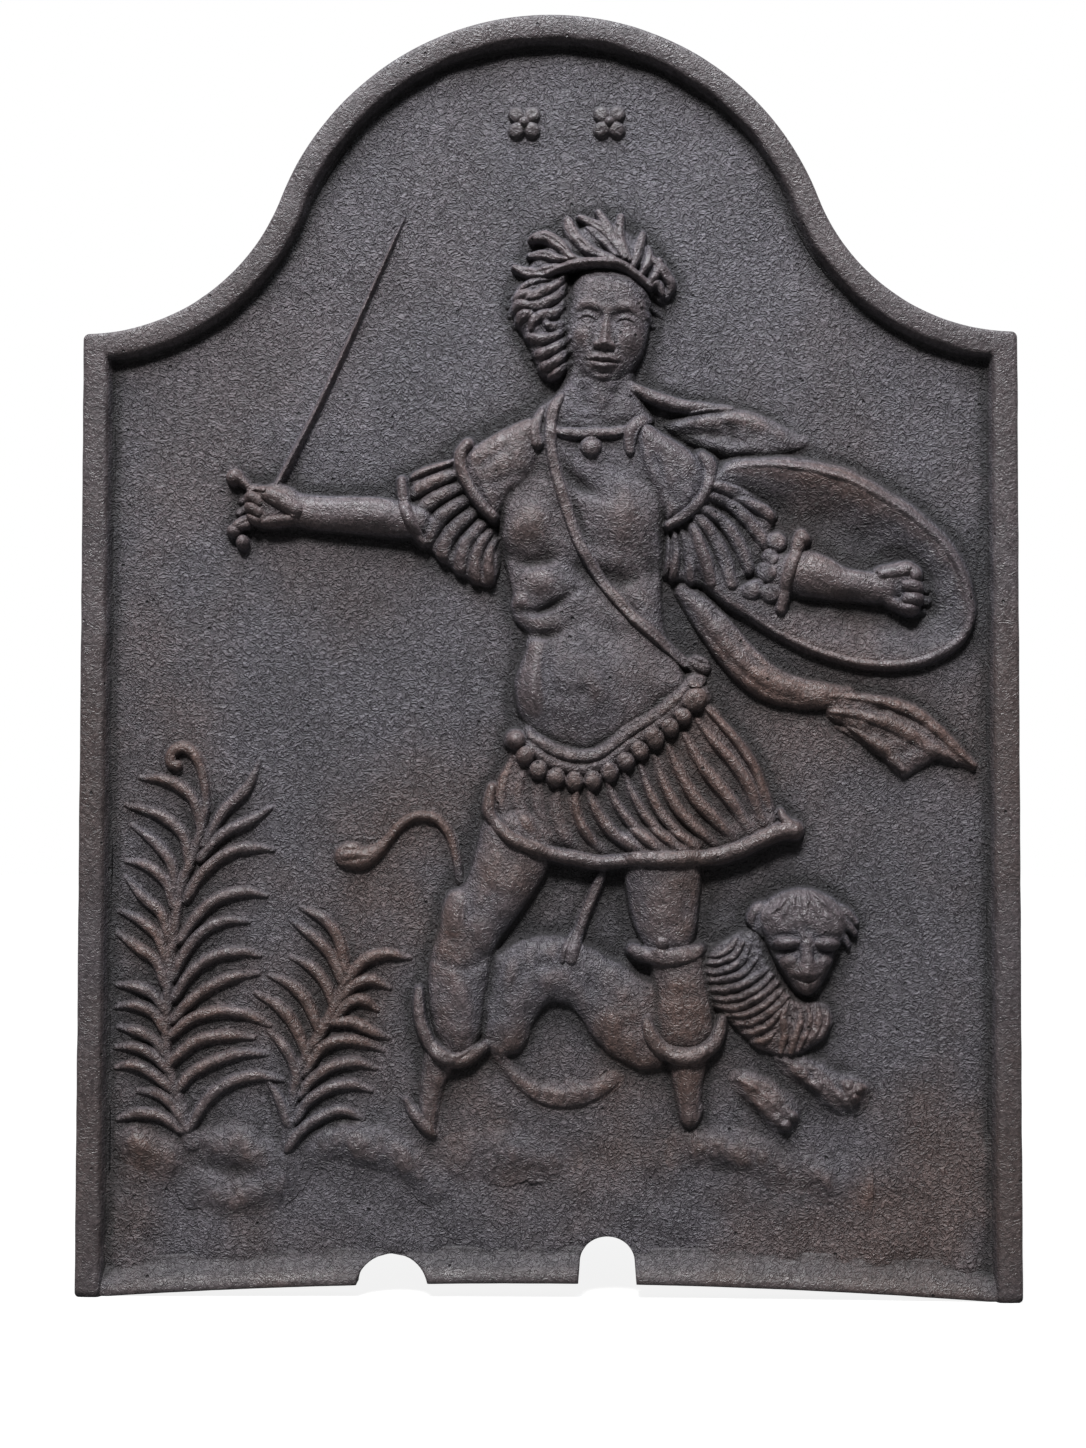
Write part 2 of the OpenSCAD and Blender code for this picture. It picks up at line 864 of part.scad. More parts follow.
module right_shoulder() {
    color(raised_iron)
        on_field()
            difference() {
                right_shoulder_form();
                torso_form();
                strap_forms();
            }
}

module left_shoulder() {
    color(raised_iron)
        on_field()
            difference() {
                left_shoulder_form();
                torso_form();
                strap_forms();
            }
}

module band_forms() {
    strokes([
        [[-41, 424, 2.4, 8], [-43, 415, 2.6, 10.5, 4], [-41, 405, 2.6, 10.5, 4], [-36, 396, 2.6, 10.5, 4], [-27, 387, 2.4, 9]],
        [[79, 415, 3.2, 9, 4], [81, 406, 2.8, 10.5, 4], [77, 396, 2.8, 10.5, 4], [70, 389, 2.8, 10.5, 4], [60, 385, 2.4, 9]]
    ]);
}

module shoulder_band(side) {
    color(raised_iron)
        on_field()
            difference() {
                half_of_pair(side)
                    band_forms();
                right_shoulder_form();
                left_shoulder_form();
                torso_form();
            }
}

module right_shoulder_band() {
    shoulder_band(-1);
}

module left_shoulder_band() {
    shoulder_band(1);
}

module right_sleeve_form() {
    broad([[-58, -44, 412, 5, 4.5], [-62, -42, 400, 6, 5], [-57, -36, 385, 6, 5], [-48, -32, 370, 6, 5], [-37, -33, 362, 5, 4.5]]);
    strokes([
        [[-45, 417, 2.2, 6], [-58, 413, 2.2, 6], [-67, 409, 2, 5]],
        [[-45, 411, 2.6, 6.5], [-57, 407, 2.9, 8], [-67, 400, 2.6, 7]],
        [[-44, 404, 2.6, 6.5], [-55, 400, 2.9, 8.2], [-66, 391, 2.6, 7]],
        [[-42, 397, 2.6, 6.5], [-53, 390, 2.9, 8.2], [-61, 377, 2.8, 7]],
        [[-39, 391, 2.6, 6.5], [-48, 383, 2.9, 8.2], [-53, 370, 2.8, 7]],
        [[-35, 385, 2.6, 6.5], [-42, 376, 2.9, 8.2], [-43, 364, 2.8, 7]],
        [[-30, 383, 2.6, 6.5], [-33, 372, 3.2, 8], [-31, 359, 3, 7]]
    ]);
}

module left_sleeve_form() {
    broad([[84, 88, 398, 5, 5], [80, 100, 389, 6, 5.5], [72, 100, 378, 6, 5.5], [66, 96, 368, 6, 5.5], [70, 88, 362, 5, 5]]);
    strokes([
        [[82, 404, 2.6, 7], [98, 398, 3.2, 8], [110, 391, 3.2, 7.5]],
        [[81, 399, 2.6, 7], [97, 389, 3.2, 8.5], [109, 375, 3.2, 7.5]],
        [[79, 394, 2.6, 7], [93, 381, 3.2, 8.5], [102, 366, 3.2, 7.5]],
        [[75, 391, 2.6, 7], [87, 377, 3.2, 8.5], [93, 360, 3.2, 7.5]],
        [[71, 388, 2.4, 7], [80, 375, 3, 8.5], [84, 358, 3, 7.5]],
        [[67, 386, 2.4, 7], [74, 373, 2.8, 8.2], [76, 358, 2.8, 7.5]],
        [[64, 384, 2.2, 7], [68, 372, 2.6, 8], [69, 359, 2.6, 7.2]],
        [[61, 383, 2, 6.5], [62, 371, 2.4, 7.5], [62, 358, 2.4, 7]]
    ]);
}

module right_sleeve() {
    color(iron)
        on_field()
            difference() {
                right_sleeve_form();
                right_shoulder_form();
                band_forms();
                torso_form();
            }
}

module left_sleeve() {
    color(iron)
        on_field()
            difference() {
                left_sleeve_form();
                left_shoulder_form();
                band_forms();
                torso_form();
            }
}

module right_forearm_form() {
    stroke([[-133, 396, 8, 7.5], [-118, 391.5, 8.5, 8.5], [-100, 390.5, 9.5, 9.5], [-85, 389.5, 10, 9.5], [-71, 389, 10, 8.5]], body_relief, 10);
}

module left_forearm_form() {
    stroke([[122, 361, 9.5, 9], [140, 359.5, 8.5, 9.5], [158, 357, 7, 9], [172, 357, 7.5, 8.5]], body_relief, 10);
}

module right_forearm() {
    color(raised_iron)
        on_field()
            difference() {
                right_forearm_form();
                right_sleeve_form();
            }
}

module left_forearm() {
    color(raised_iron)
        on_field()
            difference() {
                left_forearm_form();
                left_sleeve_form();
                dish_form();
            }
}

module right_cuff() {
    color(raised_iron)
        on_field()
            difference() {
                stroke([[-73, 406, 2, 6], [-72, 395, 2.4, 11, 6], [-68, 385, 2.4, 11, 6], [-64, 379, 2.2, 9]]);
                right_forearm_form();
                right_sleeve_form();
            }
}

module left_cuff_form() {
    strokes([[[126, 379, 2.8, 8], [122, 370, 3, 12, 7], [118, 360, 3, 12.5, 7], [117, 351, 3, 11.5, 6], [116, 345, 2.6, 8]]]);
}

module left_cuff() {
    color(raised_iron)
        on_field()
            difference() {
                left_cuff_form();
                left_forearm_form();
                left_sleeve_form();
                dish_form();
            }
}

module left_cuff_beads() {
    color(raised_iron)
        on_field()
            difference() {
                bosses([[112, 371, 4, 9], [109, 362, 4.6, 9], [103, 353, 5, 8.5], [109, 349, 4.6, 8.5]]);
                left_cuff_form();
                left_forearm_form();
                left_sleeve_form();
                dish_form();
            }
}

module hand_form() {
    strokes([
        [[-141, 400, 4.2, 8], [-127, 393, 4.6, 10]],
        [[-143, 388, 4, 6], [-132, 388, 5, 7]],
        [[-153.5, 399, 2.9, 7.5], [-143, 396, 3, 7]],
        [[-155.5, 394, 2.6, 7.5], [-144, 391.5, 2.8, 7]],
        [[-156.5, 389, 2.5, 7.5], [-147, 387, 2.8, 7]],
        [[-150, 394, 5, 5], [-136, 395, 7, 6]]
    ]);
}

module right_hand() {
    color(raised_iron)
        on_field()
            difference() {
                hand_form();
                right_forearm_form();
            }
}

module left_fist() {
    color(raised_iron)
        on_field()
            difference() {
                strokes([
                    [[173, 361, 4, 9], [183, 362, 4, 9.5]],
                    [[178, 355, 6, 8], [187, 355, 3.4, 9]],
                    [[176, 349, 5, 7.5], [186, 348.5, 3.4, 9]],
                    [[176, 345, 4, 6], [184, 343, 3, 8]]
                ]);
                left_forearm_form();
                dish_form();
            }
}

module sword() {
    color(raised_iron)
        on_field()
            difference() {
                strokes([
                    [[-74, 540, 0.9, 1.6], [-112, 455, 1.8, 3.4], [-137, 408, 2.6, 4]],
                    [[-158, 409, 4.4, 6], [-150, 402, 3, 5]],
                    [[-158, 383, 4, 6], [-154, 377, 3.4, 5.5]],
                    [[-158, 383, 4, 6], [-151, 384, 3, 5.5]]
                ]);
                hand_form();
                right_forearm_form();
            }
}

// ---- shield and cloak ----------------------------------------------------------------

shield_line = [
    [90, 412], [104, 415.5], [120, 415.5], [138, 411.5], [156, 404], [172, 394], [187, 381], [199, 367],
    [208, 350], [210, 336], [204, 324], [192, 317.5], [176, 314.5], [158, 316], [140, 320], [122, 326.5], [104, 336]
];

// The bowl of the shield: a thin skin, thicker towards its rim.
module dish_form() {
    linear_extrude(height = 1.2 * body_relief)
        polygon([for (p = shield_line) p * fit]);
}

module shield_rim_form() {
    stroke([for (p = shield_line) [p[0], p[1], 2.8, 5]]);
}

module shield_dish() {
    color(iron)
        on_field()
            difference() {
                dish_form();
                shield_rim_form();
                left_sleeve_form();
                left_shoulder_form();
                band_forms();
                cloak_lower_form();
            }
}

module shield_rim() {
    color(raised_iron)
        on_field()
            difference() {
                shield_rim_form();
                left_sleeve_form();
                band_forms();
                cloak_lower_form();
                cloak_upper_form();
            }
}

module cloak_upper_form() {
    strokes([
        [[40, 457, 3, 5], [55, 450, 4, 6], [70, 446, 3.6, 5], [86, 444, 2.4, 3]],
        [[58, 438, 3, 4], [74, 434, 7, 6], [94, 431, 9, 6.5], [112, 431, 7, 5], [124, 430, 3, 2]]
    ], body_relief, 8);
}

module cloak_upper() {
    color(iron)
        on_field()
            difference() {
                cloak_upper_form();
                left_shoulder_form();
                torso_form();
                neck_form();
            }
}

module cloak_lower_form() {
    strokes([
        [[66, 348, 4, 4], [74, 336, 6, 5], [88, 322, 8, 6], [104, 309, 9, 6], [122, 303, 9, 5.5], [146, 299, 8, 5]]
    ], body_relief, 8);
}

module cloak_lower() {
    color(iron)
        on_field()
            difference() {
                cloak_lower_form();
                torso_form();
                left_sleeve_form();
                knot_form();
            }
}

module cloak_tail() {
    color(iron)
        on_field()
            difference() {
                strokes([
                    [[150, 300, 5, 4.5], [178, 297, 5, 4.5], [196, 283, 5, 4], [214, 263, 2, 2]],
                    [[146, 294, 5, 4], [166, 286, 6, 4], [186, 274, 4, 3.5], [206, 264, 2, 2]],
                    [[142, 288, 4, 3.5], [160, 275, 4, 4], [178, 263, 2.5, 2.5]]
                ]);
                cloak_lower_form();
                shield_rim_form();
            }
}

// ---- head ----------------------------------------------------------------------------

// The face is a plain oval with evenly set features, seen from the front.
face_x = 28;
face_z = 488;

module head_form() {
    translate([face_x * fit, face_z * fit, 0])
        scale([1, 1, head_k])
            broad([
                [-9, 9, 20, 9, 9], [-10, 10, 8, 10, 12], [-8, 8, -6, 10, 12.5], [-4, 4, -17, 9, 11.5], [-1, 1, -21, 5.5, 9]
            ], 1, 10);
}

module head() {
    color(raised_iron)
        on_field()
            difference() {
                union() {
                    head_form();
                    translate([face_x * fit, face_z * fit, 0])
                        scale([1, 1, head_k])
                            strokes([
                                [[0, 3, 2, 13.4], [0, -5, 2.8, 15.4], [0, -8, 3.4, drawn_head]],
                                [[-14, 4, 2.4, 10], [-8, 5.5, 3, 13.4], [-3, 3.5, 2, 12.8]],
                                [[14, 4, 2.4, 10], [8, 5.5, 3, 13.4], [3, 3.5, 2, 12.8]],
                                [[-5, -14, 1.8, 12], [0, -13.4, 2.6, 14], [5, -14, 1.8, 12]],
                                [[-4, -16.6, 1.8, 11.4], [0, -17.2, 2.4, 13], [4, -16.6, 1.8, 11.4]],
                                [[-1, -23, 3, 10.5], [1, -23, 3, 10.5]]
                            ], 1);
                }
                neck_form();
            }
}

module hair_form() {
    strokes([
        [[10, 511, 2.8, 10], [2, 503, 3.2, 10.5], [-7, 496, 2.8, 9]],
        [[-18, 504, 2.6, 6], [-10, 506, 3, 8], [-2, 508, 3, 9]],
        [[-16, 497, 4.2, 8], [-15, 494, 3.6, 7]],
        [[-13, 488, 4, 7], [-5, 493, 4.6, 9], [3, 495, 4, 10]],
        [[-9, 480, 4, 7], [-2, 485, 4.6, 9], [5, 488, 3.6, 10]],
        [[-6, 475, 3, 6], [1, 479, 3.4, 8], [7, 483, 3, 9]],
        [[-5, 468, 2.6, 5.5], [2, 473, 3.2, 8], [8, 477, 3, 9]],
        [[-1, 463, 2.6, 5.5], [5, 468, 3, 8], [10, 472, 2.8, 9]],
        [[52, 506, 2.2, 8], [60, 496, 1.8, 5]],
        [[49, 500, 2.2, 8], [55, 491, 1.6, 4.5]]
    ]);
}

module hair() {
    color(iron)
        on_field()
            difference() {
                hair_form();
                head_form();
                neck_form();
                torso_form();
            }
}

module laurel_wreath() {
    color(raised_iron)
        on_field()
            difference() {
                strokes([
                    [[24, 516, 2.2, 12, 4], [8, 517, 2.6, 11, 4], [-5, 512, 2.2, 9, 3]],
                    [[12, 519, 2.6, 11, 4], [5, 528, 3, 9], [-5, 531, 2.6, 6]],
                    [[4, 518, 2.4, 10], [-2, 520, 2.6, 8], [-8, 521, 2.2, 6]],
                    [[-4, 512, 2.4, 9], [-10, 513, 2.6, 8], [-16, 515, 2.2, 5]],
                    [[36, 516, 2.4, 12, 4], [20, 523, 3.2, 11, 3], [11, 531, 3, 8], [9, 538, 2.4, 6]],
                    [[33, 519, 2.4, 11], [25, 528, 2.8, 9], [22, 533, 2, 6]],
                    [[38, 518, 2.4, 11], [29, 530, 3, 9], [18, 540, 2.6, 6]],
                    [[41, 518, 2.4, 11], [33, 531, 3, 9.5], [26, 543, 2.2, 6]],
                    [[44, 517, 2.4, 11], [39, 529, 2.8, 9], [36, 541, 2.2, 6]],
                    [[24, 516, 2, 11, 3], [40, 517, 2.6, 12, 3], [50, 508, 2.4, 10, 3]],
                    [[46, 515, 2.4, 10], [46, 524, 2.8, 8.5], [47, 531, 2.4, 6]],
                    [[49, 512, 2.4, 10], [51, 517, 2.2, 8], [50, 522, 1.8, 6]],
                    [[52, 508, 2.4, 9], [58, 512, 3, 7.5], [60, 505, 2.4, 6]]
                ]);
                head_form();
                hair_form();
            }
}

// ---- nodes ---------------------------------------------------------------------------

back_plate();
rim_moulding();
foot_rail();
left_rosette();
right_rosette();
ground_mounds();
tall_palm();
small_palm();
lion_body();
lion_hind_leg();
lion_tail();
lion_mane();
lion_head();
lion_forelegs();
right_thigh();
right_calf();
right_boot();
right_boot_cuff();
left_thigh();
left_calf();
left_boot();
left_garter();
left_boot_cuff();
scabbard();
torso();
neck();
skirt();
skirt_hem();
waist_belt();
belt_beads();
baldric();
baldric_knot();
collar();
right_strap();
left_strap();
right_shoulder();
left_shoulder();
right_sleeve();
left_sleeve();
right_shoulder_band();
left_shoulder_band();
right_forearm();
left_forearm();
right_cuff();
left_cuff();
left_cuff_beads();
right_hand();
left_fist();
sword();
shield_dish();
shield_rim();
cloak_upper();
cloak_lower();
cloak_tail();
head();
hair();
laurel_wreath();
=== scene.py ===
"""A cast-iron fireback: a swordsman, a lion and two palms in relief on an arched plate.

The relief is laid up the way a pattern maker does it. Each form is a height over a fine grid of
its own, laid on the heights of what lies under it, and becomes a closed solid that sinks a hair
into what carries it. Places are in millimetres: x to the right, z up, and rise forward from the
plate's field.
"""
import math

import bmesh
import bpy
import numpy as np
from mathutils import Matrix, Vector
from mathutils.geometry import delaunay_2d_cdt


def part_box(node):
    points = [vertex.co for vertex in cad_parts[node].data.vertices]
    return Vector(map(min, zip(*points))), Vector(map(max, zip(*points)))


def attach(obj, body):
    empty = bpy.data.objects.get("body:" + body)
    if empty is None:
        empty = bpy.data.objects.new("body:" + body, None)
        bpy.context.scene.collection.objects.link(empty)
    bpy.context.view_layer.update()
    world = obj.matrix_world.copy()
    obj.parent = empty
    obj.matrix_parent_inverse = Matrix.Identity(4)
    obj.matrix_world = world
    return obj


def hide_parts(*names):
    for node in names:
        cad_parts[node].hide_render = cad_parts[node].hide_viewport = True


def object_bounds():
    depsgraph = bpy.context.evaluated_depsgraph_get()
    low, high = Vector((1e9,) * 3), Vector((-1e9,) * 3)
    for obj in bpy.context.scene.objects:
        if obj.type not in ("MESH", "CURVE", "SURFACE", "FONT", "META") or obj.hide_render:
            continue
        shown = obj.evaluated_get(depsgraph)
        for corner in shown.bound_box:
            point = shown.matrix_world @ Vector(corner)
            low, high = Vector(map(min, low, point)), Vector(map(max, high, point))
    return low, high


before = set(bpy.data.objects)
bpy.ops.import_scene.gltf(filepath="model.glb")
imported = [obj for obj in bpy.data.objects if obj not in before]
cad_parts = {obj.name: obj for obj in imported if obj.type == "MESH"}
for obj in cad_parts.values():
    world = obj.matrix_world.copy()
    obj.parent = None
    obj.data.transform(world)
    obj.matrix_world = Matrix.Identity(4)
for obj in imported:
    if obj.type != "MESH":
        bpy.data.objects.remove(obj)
cad_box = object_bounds()

MM = 0.001
plate_low, plate_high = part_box("back_plate")
HALF_W = plate_high.x / MM
PLATE_TOP = plate_high.z / MM
FIELD_Y = plate_low.y / MM
BACK_Y = plate_high.y / MM
# The highest rise that stays a hair inside the CAD's box.
HIGHEST = FIELD_Y - cad_box[0].y / MM - 0.05

# The plate's outline: a crown, a hollow below each side of it, and a bottom edge arched between
# two feet.
CROWN_RADIUS = 145.0
SHOULDER_Z = 482.0
CROWN_Z = PLATE_TOP - CROWN_RADIUS
CROWN_OVER_SHOULDER = CROWN_Z - SHOULDER_Z
HOLLOW_RADIUS = (HALF_W ** 2 + CROWN_OVER_SHOULDER ** 2 - CROWN_RADIUS ** 2) / (
    2 * (CROWN_RADIUS + CROWN_OVER_SHOULDER))
HOLLOW_Z = SHOULDER_Z + HOLLOW_RADIUS
JOINT_ANGLE = math.atan2(HOLLOW_Z - CROWN_Z, HALF_W)
BOTTOM_RISE = 7.5
RIM_TOE = 17.0
CORNER = 3.0

# A form's height where it has none yet, how far a piece sinks into what carries it, how far its
# flat back lies behind its lowest point, the smallest patch of a piece in square millimetres, and
# how widely the bed that a form stands on is smoothed.
DEEP = -60.0
SINK = 0.05
BACKING = 0.6
LEAST_PATCH = 10
BED_BLUR = 2.2
CANVAS_STEP = 0.5

PLATE, RIM, LOW, HIGH = "plate_iron", "rim_iron", "low_relief_iron", "high_relief_iron"


# ---- heights ---------------------------------------------------------------------------

def lumps(x, z, wavelength, seed):
    """Smooth hand-made unevenness, mostly between -1 and 1. Each seed draws its own waves."""
    draw = np.random.default_rng(seed)
    total = np.zeros_like(x, dtype=float)
    waves = 10
    for _ in range(waves):
        angle, start = draw.uniform(0, 2 * math.pi, 2)
        k = 2 * math.pi / (wavelength * draw.uniform(0.7, 1.6))
        total += np.sin(k * (x * math.cos(angle) + z * math.sin(angle)) + start)
    return total / math.sqrt(waves)


def field_height(x, z):
    """The plate's field, which sags and swells a little, most near the ground."""
    ground = np.clip((130 - z) / 60, 0, 1)
    return (0.2 * lumps(x, z, 70, 1) + 0.1 * lumps(x, z, 26, 2)
            + ground * (0.6 * lumps(x, z, 40, 3) + 0.36 * lumps(x, z, 17, 4)))


def edge_inset(x, z):
    """How far a point lies inside the plate's sides and top."""
    side = HALF_W - np.abs(x)
    crown = CROWN_RADIUS - np.hypot(x, z - CROWN_Z)
    hollow = np.hypot(side, z - HOLLOW_Z) - HOLLOW_RADIUS
    in_crown = np.arctan2(z - CROWN_Z, np.abs(x)) > JOINT_ANGLE
    return np.minimum(side, np.where(in_crown, crown, hollow))


def bottom_z(x):
    """Height of the bottom edge: level on the two feet, arched between them."""
    return np.maximum(0, BOTTOM_RISE * (1 - (x / (HALF_W - RIM_TOE)) ** 2))


# Rim and foot rail across their width: distance from the plate's edge, and rise.
RIM_PROFILE = [(0, 0), (0.02, 5.0), (0.25, 6.0), (0.9, 6.7), (2.2, 7.0), (6.5, 7.1), (10.6, 7.0),
               (11.8, 6.7), (12.6, 5.7), (13.5, 3.1), (14.4, 0.9), (15.3, 0.1), (16.4, -0.3)]
RAIL_UNDER_RIM = 4.0
RAIL_PROFILE = [(0, 0), (0.02, 4.0), (0.3, 4.9), (1.0, 5.4), (2.2, 5.5), (3.6, 5.2), (5, 4.75), (6.5, 4.1),
                (8, 3.4), (9.5, 2.7), (11, 2.0), (12.2, 1.4), (13.4, 0.9), (14.5, 0.5), (15.5, 0.2),
                (16.5, 0.0), (18, -0.3)]


def smooth_max(a, b, blend):
    """The higher of two heights, rounded where they meet."""
    near = np.maximum(blend - np.abs(a - b), 0) / blend
    return np.maximum(a, b) + near * near * blend / 4


def blurred(heights, radius):
    """Gaussian blur with its radius in cells."""
    taps = np.arange(-int(3 * radius) - 1, int(3 * radius) + 2)
    weights = np.exp(-0.5 * (taps / radius) ** 2)
    weights /= weights.sum()
    reach = taps[-1]
    for axis in (0, 1):
        pads = [(0, 0), (0, 0)]
        pads[axis] = (reach, reach)
        wide = np.pad(heights, pads, mode="edge")
        size = heights.shape[axis]
        heights = sum(w * wide.take(range(i, i + size), axis=axis) for i, w in enumerate(weights))
    return heights


def between(heights, across, up):
    """Heights at places among the points of a grid, counted in its cells."""
    i, j = across.astype(int), up.astype(int)
    u, v = across - i, up - j
    return ((heights[j, i] * (1 - u) + heights[j, i + 1] * u) * (1 - v)
            + (heights[j + 1, i] * (1 - u) + heights[j + 1, i + 1] * u) * v)


class Canvas:
    """The height of everything laid so far, over the whole plate."""

    def __init__(self):
        self.xs = np.arange(-HALF_W - 2, HALF_W + 2 + CANVAS_STEP, CANVAS_STEP)
        self.zs = np.arange(-2, PLATE_TOP + 2 + CANVAS_STEP, CANVAS_STEP)
        x, z = np.meshgrid(self.xs, self.zs)
        rim = np.interp(edge_inset(x, z), *zip(*RIM_PROFILE))
        rail = np.interp(z - bottom_z(x), *zip(*RAIL_PROFILE))
        self.height = np.maximum(field_height(x, z), np.maximum(rim, rail))

    def look_up(self, heights, x, z):
        """Values at places on the plate, from values at the canvas's points."""
        across = np.clip((x - self.xs[0]) / CANVAS_STEP, 0, len(self.xs) - 1.001)
        up = np.clip((z - self.zs[0]) / CANVAS_STEP, 0, len(self.zs) - 1.001)
        return between(heights, across, up)

    def at(self, x, z):
        return self.look_up(self.height, x, z)

    def lay(self, form, surface):
        """Takes in the surface of a form."""
        x0, z0, step = form.x[0, 0], form.z[0, 0], form.step
        rows, columns = surface.shape
        i = np.flatnonzero((self.xs >= x0) & (self.xs <= x0 + (columns - 1.001) * step))
        j = np.flatnonzero((self.zs >= z0) & (self.zs <= z0 + (rows - 1.001) * step))
        laid = between(surface, *np.meshgrid((self.xs[i] - x0) / step, (self.zs[j] - z0) / step))
        here = np.ix_(j, i)
        self.height[here] = np.maximum(self.height[here], laid)


canvas = Canvas()
pieces = []
reliefs = []


def curve(rows, steps=6, closed=False):
    """A smooth curve through the rows. Every column, such as a width, is smoothed alike."""
    rows = np.asarray(rows, float)
    if closed:
        ends = np.vstack([rows[-1:], rows, rows[:2]])
    else:
        ends = np.vstack([2 * rows[0] - rows[1], rows, 2 * rows[-1] - rows[-2]])
    t = np.linspace(0, 1, steps, endpoint=False)[:, None]
    parts = [
        0.5 * (2 * b + (c - a) * t + (2 * a - 5 * b + 4 * c - d) * t ** 2
               + (3 * b - a - 3 * c + d) * t ** 3)
        for a, b, c, d in zip(ends, ends[1:], ends[2:], ends[3:])
    ]
    return np.vstack(parts if closed else parts + [rows[-1:]])


def crown_of(d, kind):
    """Height across a form: d is 0 on its middle line and 1 at its border."""
    inside = np.clip(d, 0, 1)
    outside = 2.2 * np.maximum(d - 1, 0)
    if kind == "round":
        return np.sqrt(1 - inside ** 2) - outside
    if kind == "full":
        return (1 - inside ** 3.2) ** 0.6 - outside
    if kind == "keel":
        return 1 - np.sqrt(inside ** 2 * 0.94 + 0.06) + 0.24 - 0.24 * inside - outside
    return 1 - d ** 2


class Form:
    """One piece of the relief: heights over a fine grid of its own."""

    def __init__(self, name, x0, z0, x1, z1, step):
        self.name = name
        self.step = step
        self.x, self.z = np.meshgrid(np.arange(x0, x1 + step, step), np.arange(z0, z1 + step, step))
        self.below = canvas.at(self.x, self.z)
        self.bed = blurred(self.below, BED_BLUR / step)
        self.rise = np.full_like(self.x, DEEP)

    def top(self):
        """The form's own surface, and the bed where it has none yet."""
        return np.maximum(self.rise, self.bed)

    def at_least(self, rise):
        """The bed, raised to a rise where it is lower."""
        return np.maximum(self.bed, rise)

    def trace(self, rows, profile, start):
        """The highest of the profiles along a curve of rows: x, z, half width and amount."""
        made = np.full_like(self.x, start)
        x0, z0, step = self.x[0, 0], self.z[0, 0], self.step
        for a, b in zip(rows, rows[1:]):
            reach = 1.7 * max(a[2], b[2]) + 2.5
            i0 = max(int((min(a[0], b[0]) - reach - x0) / step), 0)
            i1 = max(int((max(a[0], b[0]) + reach - x0) / step) + 1, 0)
            j0 = max(int((min(a[1], b[1]) - reach - z0) / step), 0)
            j1 = max(int((max(a[1], b[1]) + reach - z0) / step) + 1, 0)
            x, z = self.x[j0:j1, i0:i1], self.z[j0:j1, i0:i1]
            if not x.size:
                continue
            run, climb = b[0] - a[0], b[1] - a[1]
            t = ((x - a[0]) * run + (z - a[1]) * climb) / max(run * run + climb * climb, 1e-9)
            t = np.clip(t, 0, 1)
            half = a[2] + (b[2] - a[2]) * t
            amount = a[3] + (b[3] - a[3]) * t
            d = np.hypot(x - a[0] - run * t, z - a[1] - climb * t) / np.maximum(half, 0.05)
            window = made[j0:j1, i0:i1]
            np.maximum(window, amount * profile(d), out=window)
        return made

    def add(self, heights, blend):
        """Joins heights to the form, rounded where they meet it."""
        self.rise = smooth_max(self.rise, heights, blend)

    def line(self, rows, kind="round", blend=0.8, on=None, steps=6):
        """A raised line. Its rises are taken from the bed, or from the heights given."""
        made = self.trace(curve(rows, steps), lambda d: crown_of(d, kind), DEEP)
        self.add(made + (self.bed if on is None else on), blend)

    def lines(self, many, **how):
        for rows in many:
            self.line(rows, **how)

    def rolls(self, many, rise, blend=0.4, sunk=1.2, start=0.5, end=0.85, fall=0.8):
        """Rolls side by side, each a half width and its places, with its start and end slimmer."""
        ground = self.top() - sunk
        for half, places in many:
            share = np.linspace(0, 1, len(places))
            widths = half * np.interp(share, [0, 0.45, 0.8, 1], [start, 1, 1, end])
            rises = rise * np.interp(share, [0, 0.35, 0.85, 1], [0.6, 1, 1, fall])
            rows = [(x, z, w, r) for (x, z), w, r in zip(places, widths, rises)]
            self.line(rows, blend=blend, on=ground)

    def depth_inside(self, border):
        """Distance inside a closed border, negative outside it."""
        nearest = np.full_like(self.x, 1e9)
        inside = np.zeros(self.x.shape, bool)
        for a, b in zip(border, np.roll(border, -1, axis=0)):
            run, climb = b - a
            t = ((self.x - a[0]) * run + (self.z - a[1]) * climb) / max(run ** 2 + climb ** 2, 1e-9)
            t = np.clip(t, 0, 1)
            far = (self.x - a[0] - run * t) ** 2 + (self.z - a[1] - climb * t) ** 2
            nearest = np.minimum(nearest, far)
            if climb:
                crossing = (a[1] > self.z) != (b[1] > self.z)
                inside ^= crossing & (self.x < a[0] + run * (self.z - a[1]) / climb)
        return np.where(inside, 1, -1) * np.sqrt(nearest)

    def pad(self, outline, rise, edge, kind="round", blend=0.8):
        """A broad form inside an outline, rounded over the edge's width at its border."""
        depth = self.depth_inside(curve(outline, 5, closed=True))
        d = np.maximum(1 - depth / edge, 0)
        self.add(rise * crown_of(d, kind), blend)

    def oval(self, x, z, wide, tall, turn):
        """How far each place lies along and across an oval, 1 at its border."""
        c, s = math.cos(math.radians(turn)), math.sin(math.radians(turn))
        return (((self.x - x) * c + (self.z - z) * s) / wide,
                (-(self.x - x) * s + (self.z - z) * c) / tall)

    def boss(self, x, z, wide, tall, rise, turn=0, on=None, blend=0.8):
        """A rounded knob, standing on the bed or on the heights given."""
        made = rise * crown_of(np.hypot(*self.oval(x, z, wide, tall, turn)), "round")
        self.add(made + (self.bed if on is None else on), blend)

    def swell(self, x, z, wide, tall, amount, turn=0):
        """Raises the surface in a soft oval, or sinks it where the amount is negative."""
        u, v = self.oval(x, z, wide, tall, turn)
        self.rise = self.rise + amount * np.exp(-u * u - v * v)

    def fold(self, rows, steps=6):
        """A soft ridge along a curve, or a groove where its amount is negative."""
        rows = curve(rows, steps)
        sign = np.sign(rows[:, 3].sum())
        rows[:, 3] = np.abs(rows[:, 3])
        self.rise = self.rise + sign * self.trace(rows, lambda d: np.exp(-d * d), 0.0)

